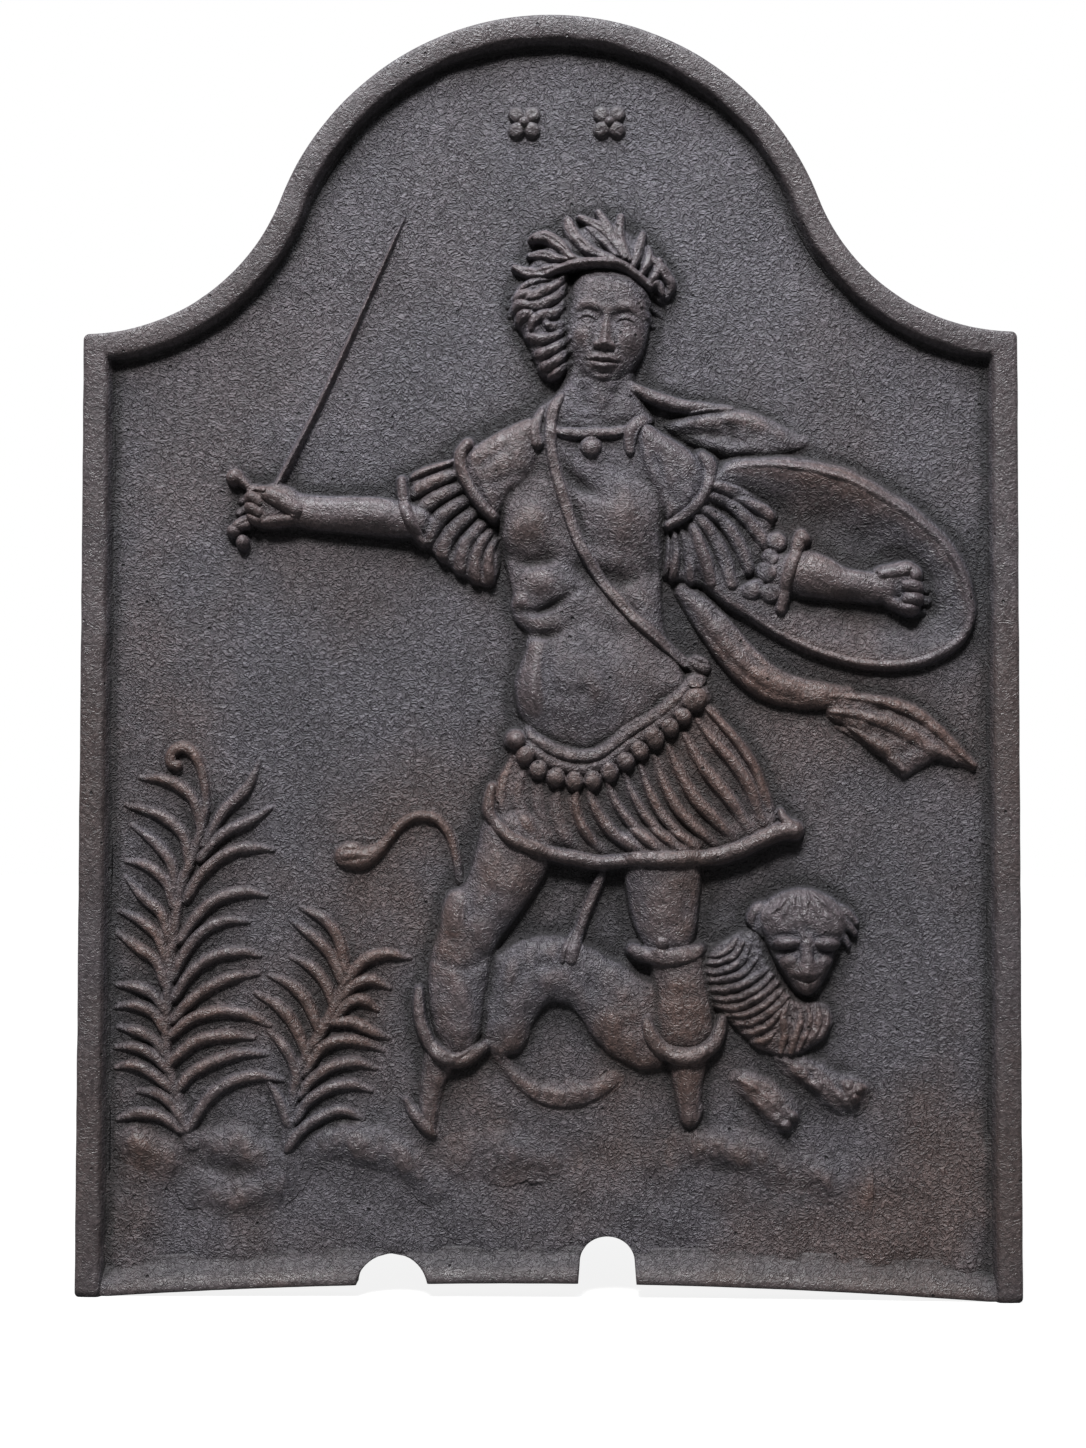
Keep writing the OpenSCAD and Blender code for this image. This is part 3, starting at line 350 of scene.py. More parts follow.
    def folds(self, half, amount, *curves):
        """Grooves or ridges of one size, fading at both ends."""
        for places in curves:
            share = np.sin(np.linspace(0.25, math.pi - 0.25, len(places)))
            self.fold([(x, z, half, amount * s) for (x, z), s in zip(places, share)])

    def uneven(self, amount, wavelength, seed):
        """Lays smooth unevenness over the whole form."""
        self.rise = self.rise + amount * lumps(self.x, self.z, wavelength, seed)

    def cast(self, slot, blend):
        """Blends the form into what lies under it and makes its closed mesh."""
        ground = self.below - SINK
        surface = np.minimum(smooth_max(self.rise, ground, blend), HIGHEST)
        raised = surface > ground + 0.002
        cells = raised[:-1, :-1] | raised[1:, :-1] | raised[:-1, 1:] | raised[1:, 1:]
        cells = without_specks(cells, int(LEAST_PATCH / self.step ** 2))
        relief_mesh(self, surface, fill_corners(cells), slot)
        canvas.lay(self, surface)


def relief(slot, corners, step=0.5, blend=1.3):
    """Lists a piece of the relief by its finish and its grid's left, bottom, right and top.

    The piece takes the name of the function that shapes its form."""
    def listed(shape):
        reliefs.append((shape, slot, corners, step, blend))
        return shape
    return listed


def cast_reliefs():
    """Shapes and casts the pieces in the order of their functions, each on those before it."""
    for shape, slot, corners, step, blend in reliefs:
        form = Form(shape.__name__, *corners, step)
        shape(form)
        form.cast(slot, blend)


def without_specks(cells, least):
    """Cells without the separate patches that have fewer than least of them."""
    rows, columns = cells.shape
    left = cells.copy()
    for start in np.argwhere(cells):
        if not left[tuple(start)]:
            continue
        patch, front = [], [tuple(start)]
        left[tuple(start)] = False
        while front:
            j, i = front.pop()
            patch.append((j, i))
            for b, a in ((j + 1, i), (j - 1, i), (j, i + 1), (j, i - 1)):
                if 0 <= b < rows and 0 <= a < columns and left[b, a]:
                    left[b, a] = False
                    front.append((b, a))
        if len(patch) < least:
            j, i = zip(*patch)
            cells[list(j), list(i)] = False
    return cells


def fill_corners(cells):
    """Fills cells until no two patches touch at a corner alone."""
    while True:
        a, b, c, d = cells[:-1, :-1], cells[:-1, 1:], cells[1:, :-1], cells[1:, 1:]
        rising = a & d & ~b & ~c
        falling = b & c & ~a & ~d
        if not (rising.any() or falling.any()):
            return cells
        cells[:-1, 1:] |= rising
        cells[:-1, :-1] |= falling


def relief_mesh(form, surface, cells, slot):
    """A closed mesh: the form's surface, walls down from its border, and a flat back."""
    rows, columns = surface.shape
    index = np.arange(rows * columns).reshape(rows, columns)
    corners = np.stack([index[:-1, :-1], index[:-1, 1:], index[1:, 1:], index[1:, :-1]], -1)
    quads = corners[cells]
    used, numbers = np.unique(quads, return_inverse=True)
    quads = numbers.reshape(quads.shape)
    rise = surface.ravel()[used]
    top = np.stack([form.x.ravel()[used], FIELD_Y - rise, form.z.ravel()[used]], -1)

    padded = np.pad(cells, 1)
    beyond = [padded[:-2, 1:-1], padded[1:-1, 2:], padded[2:, 1:-1], padded[1:-1, :-2]]
    full = np.full(cells.shape, -1)
    full[cells] = np.arange(len(quads))
    edges = []
    for side, neighbour in enumerate(beyond):
        rim = quads[full[cells & ~neighbour]]
        edges.append(np.stack([rim[:, side], rim[:, (side + 1) % 4]], -1))
    edges = np.vstack(edges)
    border, spots = np.unique(edges, return_inverse=True)
    spots = spots.reshape(edges.shape)
    back = top[border].copy()
    back[:, 1] = FIELD_Y - (rise.min() - BACKING)
    below = len(top) + spots
    walls = np.stack([edges[:, 1], edges[:, 0], below[:, 0], below[:, 1]], -1)

    bm = bmesh.new()
    spots_made = [bm.verts.new(p) for p in back]
    rim_edges = [bm.edges.new((spots_made[a], spots_made[b])) for a, b in spots]
    filled = bmesh.ops.triangle_fill(bm, edges=rim_edges, use_beauty=False, normal=(0, 1, 0))
    bm.verts.index_update()
    lids = []
    for face in filled["geom"]:
        if isinstance(face, bmesh.types.BMFace):
            lid = [v.index + len(top) for v in face.verts]
            lids.append(lid if face.normal.y > 0 else lid[::-1])
    bm.free()

    faces = [quads, walls, np.array(lids)]
    smooth = np.repeat([True, False, False], [len(f) for f in faces])
    new_piece(form.name, slot, np.vstack([top, back]), faces, smooth)


def new_piece(name, slot, places, faces, smooth):
    """A piece from places in millimetres and arrays of faces with three or four corners."""
    mesh = bpy.data.meshes.new(name + "_cast")
    mesh.vertices.add(len(places))
    mesh.vertices.foreach_set("co", (np.asarray(places) * MM).ravel())
    loops = np.concatenate([f.ravel() for f in faces])
    sizes = np.concatenate([np.full(len(f), f.shape[1]) for f in faces])
    mesh.loops.add(len(loops))
    mesh.loops.foreach_set("vertex_index", loops)
    mesh.polygons.add(len(sizes))
    mesh.polygons.foreach_set("loop_start", np.concatenate([[0], np.cumsum(sizes)[:-1]]))
    mesh.polygons.foreach_set("use_smooth", smooth)
    mesh.update(calc_edges=True)
    mesh.validate()
    piece = bpy.data.objects.new(name + "_cast", mesh)
    bpy.context.scene.collection.objects.link(piece)
    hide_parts(name)
    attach(piece, "root")
    pieces.append((piece, slot))
    return piece


# ---- plate, rim and foot rail ------------------------------------------------------------

def outline(inset, corner):
    """Points up the left side, over the crown and down the right side, inset from the edge."""
    over = HOLLOW_RADIUS + inset
    turn = math.asin((inset + corner) / over)
    meet_z = HOLLOW_Z - over * math.cos(turn)
    drop = max(CORNER - inset, 0)
    foot = CORNER - math.sqrt(CORNER ** 2 - drop ** 2)
    left = [(-HALF_W + inset, z) for z in np.linspace(foot, meet_z - corner, 120)]
    left += [(-HALF_W + inset + corner * (1 - math.cos(a)), meet_z - corner * (1 - math.sin(a)))
             for a in np.linspace(0, math.pi / 2, 7)[1:]]
    left += [(-HALF_W + over * math.cos(a), HOLLOW_Z + over * math.sin(a))
             for a in np.linspace(turn - math.pi / 2, -JOINT_ANGLE, 42)[1:]]
    crown = CROWN_RADIUS - inset
    left += [(crown * math.cos(a), CROWN_Z + crown * math.sin(a))
             for a in np.linspace(math.pi - JOINT_ANGLE, math.pi / 2, 64)[1:]]
    right = [(-x, z) for x, z in left[-2::-1]]
    return np.array(left + right)


def worn_edge(x, z):
    """How far the cast edge falls short of its true line."""
    return np.maximum(0.16 + 0.14 * lumps(x, z, 30, 11) * np.cos(z / 37), 0.02)


def loft(name, rings, slot):
    """A closed solid through rings of as many points each, with flat ends."""
    rings = np.asarray(rings, float)
    count, around = rings.shape[:2]
    index = np.arange(count * around).reshape(count, around)
    turned = np.roll(index, -1, axis=1)
    quads = np.stack([index[:-1], turned[:-1], turned[1:], index[1:]], -1).reshape(-1, 4)
    middles = np.array([rings[0].mean(0), rings[-1].mean(0)])
    start, end = count * around, count * around + 1
    caps = [[start, turned[0, k], index[0, k]] for k in range(around)]
    caps += [[end, index[-1, k], turned[-1, k]] for k in range(around)]
    places = np.vstack([rings.reshape(-1, 3), middles])
    smooth = np.repeat([True, False], [len(quads), len(caps)])
    new_piece(name, slot, places, [quads, np.array(caps)], smooth)


def rim_moulding():
    """The raised rim, swept over the plate from foot to foot."""
    columns = []
    for inset, rise in RIM_PROFILE + [(9, -0.4), (0.5, -0.2)]:
        line = outline(inset, CORNER if inset < 9 else 2.0)
        x, z = line.T
        outer = max(1 - inset / 3, 0)
        x = x - np.sign(x) * worn_edge(x, z) * outer * (z < CROWN_Z)
        top = rise > 2
        rise = rise + top * (0.13 * lumps(x, z, 34, 12) + 0.07 * lumps(x, z, 11, 13))
        shift = (inset > 11) * (rise > -0.2) * 0.35 * lumps(x, z, 24, 14)
        middle = np.array([0, 330.0])
        away = (line - middle) / np.linalg.norm(line - middle, axis=1, keepdims=True)
        x, z = x + away[:, 0] * shift, z + away[:, 1] * shift * (z > 30)
        columns.append(np.stack([x, FIELD_Y - rise + 0 * x, z], -1))
    loft("rim_moulding", np.stack(columns, 1), RIM)


class Notch:
    """A round-headed notch in the bottom edge."""

    def __init__(self, x, width, top):
        self.x, self.half = x, width / 2
        self.head = 0.94 * self.half
        self.head_h = 0.9 * self.head
        self.spring = top - self.head_h

    def half_at(self, z):
        straight = np.interp(z, [BOTTOM_RISE - 1, self.spring], [self.half, self.head])
        arch = self.head * np.sqrt(np.clip(1 - ((z - self.spring) / self.head_h) ** 2, 0, 1))
        return np.where(z > self.spring, arch, straight)

    def points(self):
        """From its right foot over the head to its left foot."""
        feet = [float(bottom_z(self.x + side * self.half)) for side in (1, -1)]
        legs = [np.linspace(foot, self.spring, 6)[:-1] if self.spring > foot + 1 else [] for foot in feet]
        starts = [math.asin(max((foot - self.spring) / self.head_h, 0)) for foot in feet]
        right = [(self.x + float(self.half_at(z)), z) for z in legs[0]]
        left = [(self.x - float(self.half_at(z)), z) for z in legs[1]]
        head = [(self.x + self.head * math.cos(a), self.spring + self.head_h * math.sin(a))
                for a in np.linspace(starts[0], math.pi - starts[1], 26)]
        return right + head + left[::-1]


# Where each notch is, how wide it is and how high its head stands.
NOTCHES = [Notch(-77, 38, 21.0), Notch(30, 29, 30.0)]
FIELD_STEP = 2.5
FIELD_MARGIN = 1.4


def rail_ring(low, high, share, length):
    """One section of the rail, a share of the way from its left end to its right end."""
    end = min(share, 1 - share) * length
    round_off = 0.7 * (1 - math.sqrt(1 - max(1 - end / 1.8, 0) ** 2))
    ring = []
    for up, rise in RAIL_PROFILE + [(up, -0.4) for up, _ in RAIL_PROFILE[::-1]]:
        z = float(bottom_z((low(up + 6.0) + high(up + 6.0)) / 2))
        x = low(up + z) + (high(up + z) - low(up + z)) * share
        z = float(bottom_z(x)) + up
        x = low(z) + (high(z) - low(z)) * share
        if rise > 0.4:
            rise += 0.14 * float(lumps(x, z, 28, 15)) + 0.06 * float(lumps(x, z, 9, 16)) - round_off
        ring.append((float(x), FIELD_Y - rise, z))
    return ring


def foot_rail():
    """The ramp along the bottom edge, in three lengths between the notches."""
    left, right = NOTCHES
    stops = [
        (lambda z: -(HALF_W - RAIL_UNDER_RIM) + 0 * z, lambda z: left.x - left.half_at(z)),
        (lambda z: left.x + left.half_at(z), lambda z: right.x - right.half_at(z)),
        (lambda z: right.x + right.half_at(z), lambda z: HALF_W - RAIL_UNDER_RIM + 0 * z),
    ]
    places, quads, base = [], [], 0
    near_ends = np.array([0.4, 1, 1.8])
    for low, high in stops:
        length = float(high(0.0) - low(0.0))
        shares = np.unique(np.concatenate([np.linspace(0, 1, int(length / 2)), near_ends / length,
                                           1 - near_ends / length]))
        rings = np.array([rail_ring(low, high, share, length) for share in shares])
        count, around = rings.shape[:2]
        index = base + np.arange(count * around).reshape(count, around)
        turned = np.roll(index, -1, axis=1)
        quads.append(np.stack([index[:-1], index[1:], turned[1:], turned[:-1]], -1).reshape(-1, 4))
        for end, way in ((index[0], 1), (index[-1], -1)):
            front, back = end[:around // 2], end[around // 2:][::-1]
            quads.append(np.stack([front[:-1], front[1:], back[1:], back[:-1]], -1)[:, ::way])
        places.append(rings.reshape(-1, 3))
        base += count * around
    smooth = np.concatenate([np.full(len(q), len(q) > around) for q in quads])
    new_piece("foot_rail", RIM, np.vstack(places), [np.vstack(quads)], smooth)


def plate_outline():
    """The whole outline, anticlockwise seen from the front, and which points are a notch's."""
    over = outline(0, CORNER)[::-1]
    over[:, 0] -= np.sign(over[:, 0]) * worn_edge(over[:, 0], over[:, 1]) * (over[:, 1] < CROWN_Z)
    corner = [(-HALF_W + CORNER * (1 - math.cos(a)), CORNER * (1 - math.sin(a)))
              for a in np.linspace(0, math.pi / 2, 5)[1:]]
    feet = [(x, float(bottom_z(x))) for x in np.arange(-HALF_W + 2 * CORNER, HALF_W - CORNER, 3)]
    bottom, cut = list(corner), [False] * len(corner)
    for x, z in feet:
        if all(abs(x - n.x) > n.half + 0.8 for n in NOTCHES):
            bottom.append((x, z))
            cut.append(False)
        for n in NOTCHES:
            if n.x <= x < n.x + 3:
                arch = n.points()[::-1]
                bottom += arch
                cut += [True] * len(arch)
    other = [(-x, z) for x, z in corner[::-1]]
    points = np.vstack([over[:-1], over[-1:], bottom, other])
    cut = [False] * len(over) + cut + [False] * len(other)
    return points, np.array(cut)


def drawn_in(points, amount):
    """Moves each point of an anticlockwise outline inwards by its amount."""
    before, after = np.roll(points, 1, axis=0), np.roll(points, -1, axis=0)
    along = (after - before) / np.linalg.norm(after - before, axis=1, keepdims=True)
    inwards = np.stack([-along[:, 1], along[:, 0]], -1)
    return points + inwards * np.asarray(amount)[:, None]


def plate_triangles(border):
    """Points of the border and of the field inside it, and the triangles between them all."""
    x, z = np.meshgrid(np.arange(-HALF_W + 1.5, HALF_W, FIELD_STEP),
                       np.arange(1.5, PLATE_TOP, FIELD_STEP))
    x = x + (np.arange(len(x)) % 2)[:, None] * FIELD_STEP / 2
    inner = np.stack([x.ravel(), z.ravel()], -1)
    away = np.minimum(edge_inset(*inner.T), inner[:, 1] - bottom_z(inner[:, 0]))
    for n in NOTCHES:
        reach = np.hypot(np.maximum(np.abs(inner[:, 0] - n.x) - n.half_at(inner[:, 1]), 0),
                         np.maximum(inner[:, 1] - n.spring - n.head_h, 0))
        away = np.minimum(away, reach)
    flat = np.vstack([border, inner[away > FIELD_MARGIN]])
    bounds = [(i, (i + 1) % len(border)) for i in range(len(border))]
    found, _, triangles, _, _, _ = delaunay_2d_cdt([Vector(p) for p in flat], bounds, [], 1, 1e-5)
    flat = np.array(found)
    triangles = np.array(triangles)
    a, b, c = (flat[triangles[:, k]] for k in range(3))
    ab, ac = b - a, c - a
    turned = ab[:, 0] * ac[:, 1] - ab[:, 1] * ac[:, 0] < 0
    triangles[turned] = triangles[turned][:, ::-1]
    return flat, triangles


def back_plate():
    """The plate: its field, its back and its edge, with both notches cut through."""
    edge, cut = plate_outline()
    ring = len(edge)
    flat, triangles = plate_triangles(drawn_in(edge, np.where(cut, 0.9, 0)))
    x, z = flat.T
    front = np.stack([x, FIELD_Y - field_height(x, z), z], -1)
    back_flat = flat.copy()
    back_flat[:ring] = drawn_in(edge, np.full(ring, 1.3))
    x, z = back_flat.T
    hollows = 0.22 + 0.16 * lumps(x, z, 60, 21) + 0.1 * lumps(x, z, 14, 22)
    back = np.stack([x, BACK_Y - np.maximum(hollows, 0), z], -1)

    rings = []
    depth = BACK_Y - FIELD_Y
    for inward, down in ((0.3, 0.25), (0, 0.9), (0, 0.5 * depth), (0, depth - 1.6)):
        line = drawn_in(edge, np.where(cut, inward, 0))
        rings.append(np.stack([line[:, 0], np.full(ring, FIELD_Y + down), line[:, 1]], -1))
    line = drawn_in(edge, np.full(ring, 0.4))
    rings.append(np.stack([line[:, 0], np.full(ring, BACK_Y - 0.6), line[:, 1]], -1))

    count = len(flat)
    loops = [np.arange(ring)]
    loops += [2 * count + k * ring + np.arange(ring) for k in range(len(rings))]
    loops += [count + np.arange(ring)]
    walls = [np.stack([np.roll(a, -1), a, b, np.roll(b, -1)], -1) for a, b in zip(loops, loops[1:])]
    walls = np.vstack(walls)
    faces = [triangles, triangles[:, ::-1] + count, walls]
    smooth = np.full(2 * len(triangles) + len(walls), True)
    piece = new_piece("back_plate", PLATE, np.vstack([front, back] + rings), faces, smooth)
    piece.data.set_sharp_from_angle(angle=math.radians(50))


# ---- rosettes, ground and palms ----------------------------------------------------------

def rosette(form, x, z):
    """Four round petals about a button."""
    for k in range(4):
        turn = 45 + 90 * k
        across, up = math.cos(math.radians(turn)), math.sin(math.radians(turn))
        form.boss(x + 5.2 * across, z + 5.2 * up, 4.7, 4.2, 3.6, turn)
        form.swell(x + 6.2 * across, z + 6.2 * up, 2.2, 1.5, -0.7, turn)
    form.boss(x, z, 2.9, 2.9, 4.6, blend=0.4)


@relief(RIM, (-25.5, 577, 0.5, 603), 0.25)
def left_rosette(form):
    rosette(form, -12.5, 590)


@relief(RIM, (17.5, 577, 43.5, 603), 0.25)
def right_rosette(form):
    rosette(form, 30.5, 590)


@relief(LOW, (-217, 30, 162, 98), blend=2.8)
def ground_mounds(form):
    form.lines([
        [(-214, 77, 5, 1.2), (-204, 75, 9, 3), (-192, 68, 8, 1.8)],
        [(-174, 73, 6, 1.4), (-161, 75, 10, 4), (-148, 71, 10, 4.2), (-134, 64, 8, 2.2)],
        [(-172, 54, 7, 1.2), (-157, 50, 10, 3), (-143, 53, 10, 3.2), (-130, 61, 7, 1.8)],
        [(-116, 73, 6, 1.4), (-100, 76, 10, 4.2), (-85, 74, 11, 4.8), (-71, 67, 10, 4), (-56, 56, 7, 1.6)],
        [(68, 73, 6, 1.2), (83, 75, 10, 3.6), (98, 72, 10, 3.8), (114, 65, 7, 1.8)],
        [(124, 64, 7, 1), (139, 61, 9, 2), (154, 55, 6, 0.8)],
        [(-48, 68, 6, 0.8), (-22, 72, 10, 1.8), (6, 68, 6, 0.8)],
    ], kind="soft", blend=3)
    form.folds(4, -1.6, [(-110, 66), (-95, 62), (-79, 58), (-64, 50)], [(-170, 65), (-156, 61), (-142, 58)],
               [(76, 65), (92, 62), (108, 57)], [(-166, 42), (-150, 40), (-134, 48)])
    bumps = lumps(form.x, form.z, 15, 31) + 0.4 * lumps(form.x, form.z, 6, 32)
    form.rise = form.rise + 0.6 * bumps


def palm(form, stem, leaves):
    """A palm: a stem and curved leaflets, each listed from its tip to its root."""
    form.line(stem, blend=1.2)
    for leaf in leaves:
        (x0, z0), (x1, z1) = leaf[-2:]
        far = math.hypot(x1 - x0, z1 - z0)
        leaf = leaf + [(x1 + 3 * (x1 - x0) / far, z1 + 3 * (z1 - z0) / far)]
        share = np.linspace(0, 1, len(leaf))
        widths = np.interp(share, [0, 0.2, 0.55, 0.85, 1], [1.2, 2.8, 3.1, 2.5, 1.8])
        rises = np.interp(share, [0, 0.25, 0.6, 0.85, 1], [1.2, 3.6, 4, 3.6, 2.6])
        form.line([(x, z, w, r) for (x, z), w, r in zip(leaf, widths, rises)], blend=0.9)
    form.uneven(0.2, 9, len(leaves))


@relief(LOW, (-221, 68, -126, 279), 0.4, 1.6)
def tall_palm(form):
    stem = [(-178, 76, 4.5, 1.6), (-182, 90, 3.6, 2.8), (-190, 115, 2.8, 3.2), (-190.5, 145, 2.8, 3.6),
            (-188, 175, 2.8, 3.6), (-184, 203, 2.8, 3.6), (-177, 222, 2.6, 3.6), (-172, 242, 2.5, 3.4),
            (-173, 257, 2.6, 3.6), (-176.6, 267.6, 2.8, 3.8), (-183, 273.4, 3, 4),
            (-189, 270.6, 3, 4), (-189.4, 265.4, 3, 4.2), (-186.4, 264, 2.8, 4.2)]
    left = [
        [(-205, 258), (-190, 256), (-178, 247), (-174, 232)],
        [(-212, 244), (-195, 239), (-183, 229), (-180, 215)],
        [(-209, 234), (-197, 225), (-189, 215), (-187, 203)],
        [(-211, 216), (-200, 213), (-191, 205), (-188, 195)],
        [(-212, 208), (-203, 198), (-194, 190), (-190, 178)],
        [(-215, 191), (-204, 186), (-195, 178), (-191, 165)],
        [(-216, 180), (-206, 173), (-196, 166), (-192, 155)],
        [(-216, 154), (-206, 153), (-197, 149), (-192, 142)],
        [(-216, 143), (-206, 144), (-197, 140), (-192, 132)],
        [(-215, 133), (-206, 131), (-197, 127), (-192, 120)],
        [(-216, 123), (-206, 123), (-197, 119), (-191, 113)],
        [(-216, 113), (-206, 114), (-196, 109), (-189, 103)],
        [(-205, 101), (-195, 100), (-187, 94), (-181, 84)],
        [(-215, 87), (-205, 90), (-193, 89), (-184, 83)],
    ]
    right = [
        [(-145, 267), (-151, 253), (-163, 241), (-171, 226)],
        [(-139, 243), (-150, 236), (-163, 230), (-173, 219)],
        [(-138, 222), (-150, 223), (-163, 219), (-175, 208), (-180, 199)],
        [(-141, 199), (-152, 201), (-166, 197), (-177, 187), (-183, 178)],
        [(-150, 186), (-163, 186), (-175, 179), (-183, 168), (-187, 159)],
        [(-144, 169), (-155, 171), (-168, 168), (-179, 160), (-186, 149)],
        [(-145, 160), (-158, 158), (-171, 152), (-181, 144), (-186, 138)],
        [(-139, 134), (-152, 140), (-166, 141), (-179, 137), (-187, 130)],
        [(-147, 128), (-160, 129), (-173, 127), (-183, 121), (-189, 115)],
        [(-140, 120), (-154, 120), (-167, 116), (-178, 110), (-185, 102)],
        [(-132, 107), (-145, 109), (-158, 106), (-170, 97), (-178, 84)],
    ]
    palm(form, stem, left + right)


@relief(LOW, (-150, 68, -62, 200), 0.4, 1.6)
def small_palm(form):
    stem = [(-129, 76, 4, 1.6), (-128, 92, 3.2, 3), (-124, 112, 2.9, 3.4), (-113, 131, 3.1, 3.8),
            (-104, 148, 3, 3.6), (-100.5, 162, 1.9, 2.8)]
    leaves = [
        [(-124, 193), (-113, 188), (-105, 178), (-101, 162)],
        [(-128, 186), (-118, 179), (-109, 170), (-103, 157)],
        [(-128, 168), (-118, 163), (-111, 155), (-107, 145)],
        [(-139, 159), (-128, 154), (-120, 145), (-114, 132)],
        [(-146, 150), (-134, 143), (-126, 133), (-120, 119)],
        [(-139, 131), (-132, 124), (-127, 116), (-125, 107)],
        [(-139, 105), (-134, 98), (-130, 87)],
        [(-69, 168), (-80, 170), (-91, 167), (-100, 157)],
        [(-79, 153), (-88, 157), (-96, 155), (-102, 149)],
        [(-85, 142), (-92, 147), (-99, 146), (-105, 139)],
        [(-80, 128), (-89, 132), (-98, 136), (-108, 136)],
        [(-82, 122), (-92, 126), (-104, 127), (-114, 122), (-120, 112)],
        [(-86, 113), (-96, 116), (-107, 114), (-117, 108), (-122, 101)],
        [(-88, 102), (-98, 105), (-109, 103), (-119, 97), (-125, 88)],
        [(-92, 88), (-102, 92), (-113, 89), (-123, 82), (-128, 75)],
    ]
    palm(form, stem, leaves)


# ---- lion --------------------------------------------------------------------------------

@relief(LOW, (-116, 198, -38, 248), 0.4)
def lion_tail(form):
    form.line([(-101, 219, 6.2, 5), (-94, 218, 6, 5), (-86, 221, 3.8, 4.2), (-80, 227, 2.5, 3.6),
               (-73, 235, 2.4, 3.6), (-65, 239, 2.4, 3.7), (-56, 237.5, 2.4, 3.7),
               (-49.5, 230, 2.4, 3.6), (-46, 219, 2.4, 3.5), (-43.5, 206, 2.4, 2.6)])
    form.boss(-99, 219.5, 8.2, 6.6, 5.4)
    form.folds(1.2, -0.9, [(-106, 221), (-99, 222), (-91, 221)], [(-105, 216), (-98, 217), (-90, 218)])


@relief(LOW, (-40, 92, 64, 188), blend=3)
def lion_body(form):
    form.pad([(-30, 167), (-22, 174), (-12, 178), (0, 180), (10, 179), (20, 175), (28, 170), (36, 167),
              (45, 161), (57, 154), (60, 118), (48, 113), (38, 116.5), (31, 120.5), (25, 126), (20, 132.5),
              (16, 139), (10, 144), (4, 145.5), (-2, 142.5), (-7, 135), (-10, 127), (-15, 121), (-25, 120),
              (-33, 130)], 7.2, 14)
    form.swell(-16, 152, 6, 18, 1.3, 8)
    form.swell(3, 157, 10, 7, 1.3)
    form.swell(32, 136, 7, 16, 1.5, -32)
    form.folds(3.5, -1.2, [(-6, 172), (-3, 166), (4, 168)], [(20, 168), (21, 156), (28, 148)])
    form.uneven(0.35, 12, 41)


@relief(LOW, (-38, 84, 46, 134), blend=3)
def lion_hind_leg(form):
    form.line([(-27, 123, 2.6, 1.4), (-19, 113, 3, 2.2), (-11, 105, 3.6, 2.8), (-2, 100.4, 4.6, 3.2),
               (8, 99, 5.2, 3.4), (18, 100.6, 5, 3.2), (27, 104.4, 4.2, 2.4), (33, 108, 2.8, 1.2)], blend=2)
    form.boss(1, 102, 6, 4.4, 2.8, 20, blend=2)
    form.boss(15, 103, 7, 4.4, 2.8, -10, blend=2)
    form.folds(1.5, -0.9, [(-4, 105), (-3, 100), (-6, 96)], [(9, 105), (10, 100), (8, 95)],
               [(22, 106), (22, 101), (20, 96)])
    form.uneven(0.3, 8, 42)


@relief(LOW, (68, 112, 150, 194), 0.4, 1.8)
def lion_mane(form):
    form.pad([(75, 164), (80, 172.5), (88, 178), (98, 183), (106, 183), (112, 168), (118, 156),
              (126, 148.6), (137, 147), (142.5, 140), (140, 131), (132, 124), (122, 119), (112, 120.4),
              (103.5, 124), (97, 130), (89.5, 137), (83, 143), (78, 150), (75.4, 157)], 5, 8)
    form.folds(5, 1.4, [(90, 168), (100, 154), (112, 142), (124, 132)])
    form.rolls([
        (2.2, [(79, 169.6), (85, 170.6), (90.4, 173.8), (94, 178.6)]),
        (2, [(77.6, 166), (86, 166.8), (93.6, 170.6), (97.4, 177)]),
        (2.6, [(75.6, 161.8), (86, 162.4), (95.6, 166.6), (100.4, 175)]),
        (2.3, [(76.6, 157.2), (87, 158), (97, 161.4), (104, 168.6)]),
        (2.6, [(78.6, 152.8), (90, 153.2), (101, 157.8), (109.4, 163.6)]),
        (2.2, [(80.6, 148.6), (92, 148.6), (103.4, 153.4), (112, 160.4)]),
        (2.5, [(84, 144.2), (95, 144.2), (106, 149.8), (115, 157)]),
        (2.1, [(88.6, 140), (98.6, 141), (108.6, 146.2), (117, 153.4)]),
        (2.4, [(92.6, 135.4), (102, 137), (111, 142.6), (120, 150.2)]),
        (2.1, [(96.6, 131), (104.6, 132.6), (111, 137), (116, 143)]),
        (2.4, [(101, 126.6), (107.4, 128), (112.4, 132)]),
        (2.4, [(119.6, 147), (117.2, 139), (118, 130.6), (115.6, 121.6)]),
        (2.7, [(124.4, 146.6), (125.6, 138), (122.6, 129.6), (121, 121.2)]),
        (2.2, [(129.4, 146.6), (130.4, 138), (127.6, 130), (124.6, 122.6)]),
        (2.7, [(134.6, 145.4), (134.4, 137), (131.6, 130), (128, 124.6)]),
        (2.1, [(139.4, 142), (138.6, 135), (135.4, 129.6), (131.4, 126.4)]),
    ], 3.3, blend=0.3, end=0.6)
    form.folds(1.1, -0.8, [(84, 160), (94, 163), (98, 170)], [(88, 151), (100, 154.6), (108, 161)],
               [(92, 142.6), (104, 146.8), (113, 154)], [(121.6, 142), (121, 132), (118.6, 124)],
               [(127.6, 142), (127, 133), (124, 126)])
    form.uneven(0.3, 7, 43)
    form.uneven(0.15, 3.4, 47)


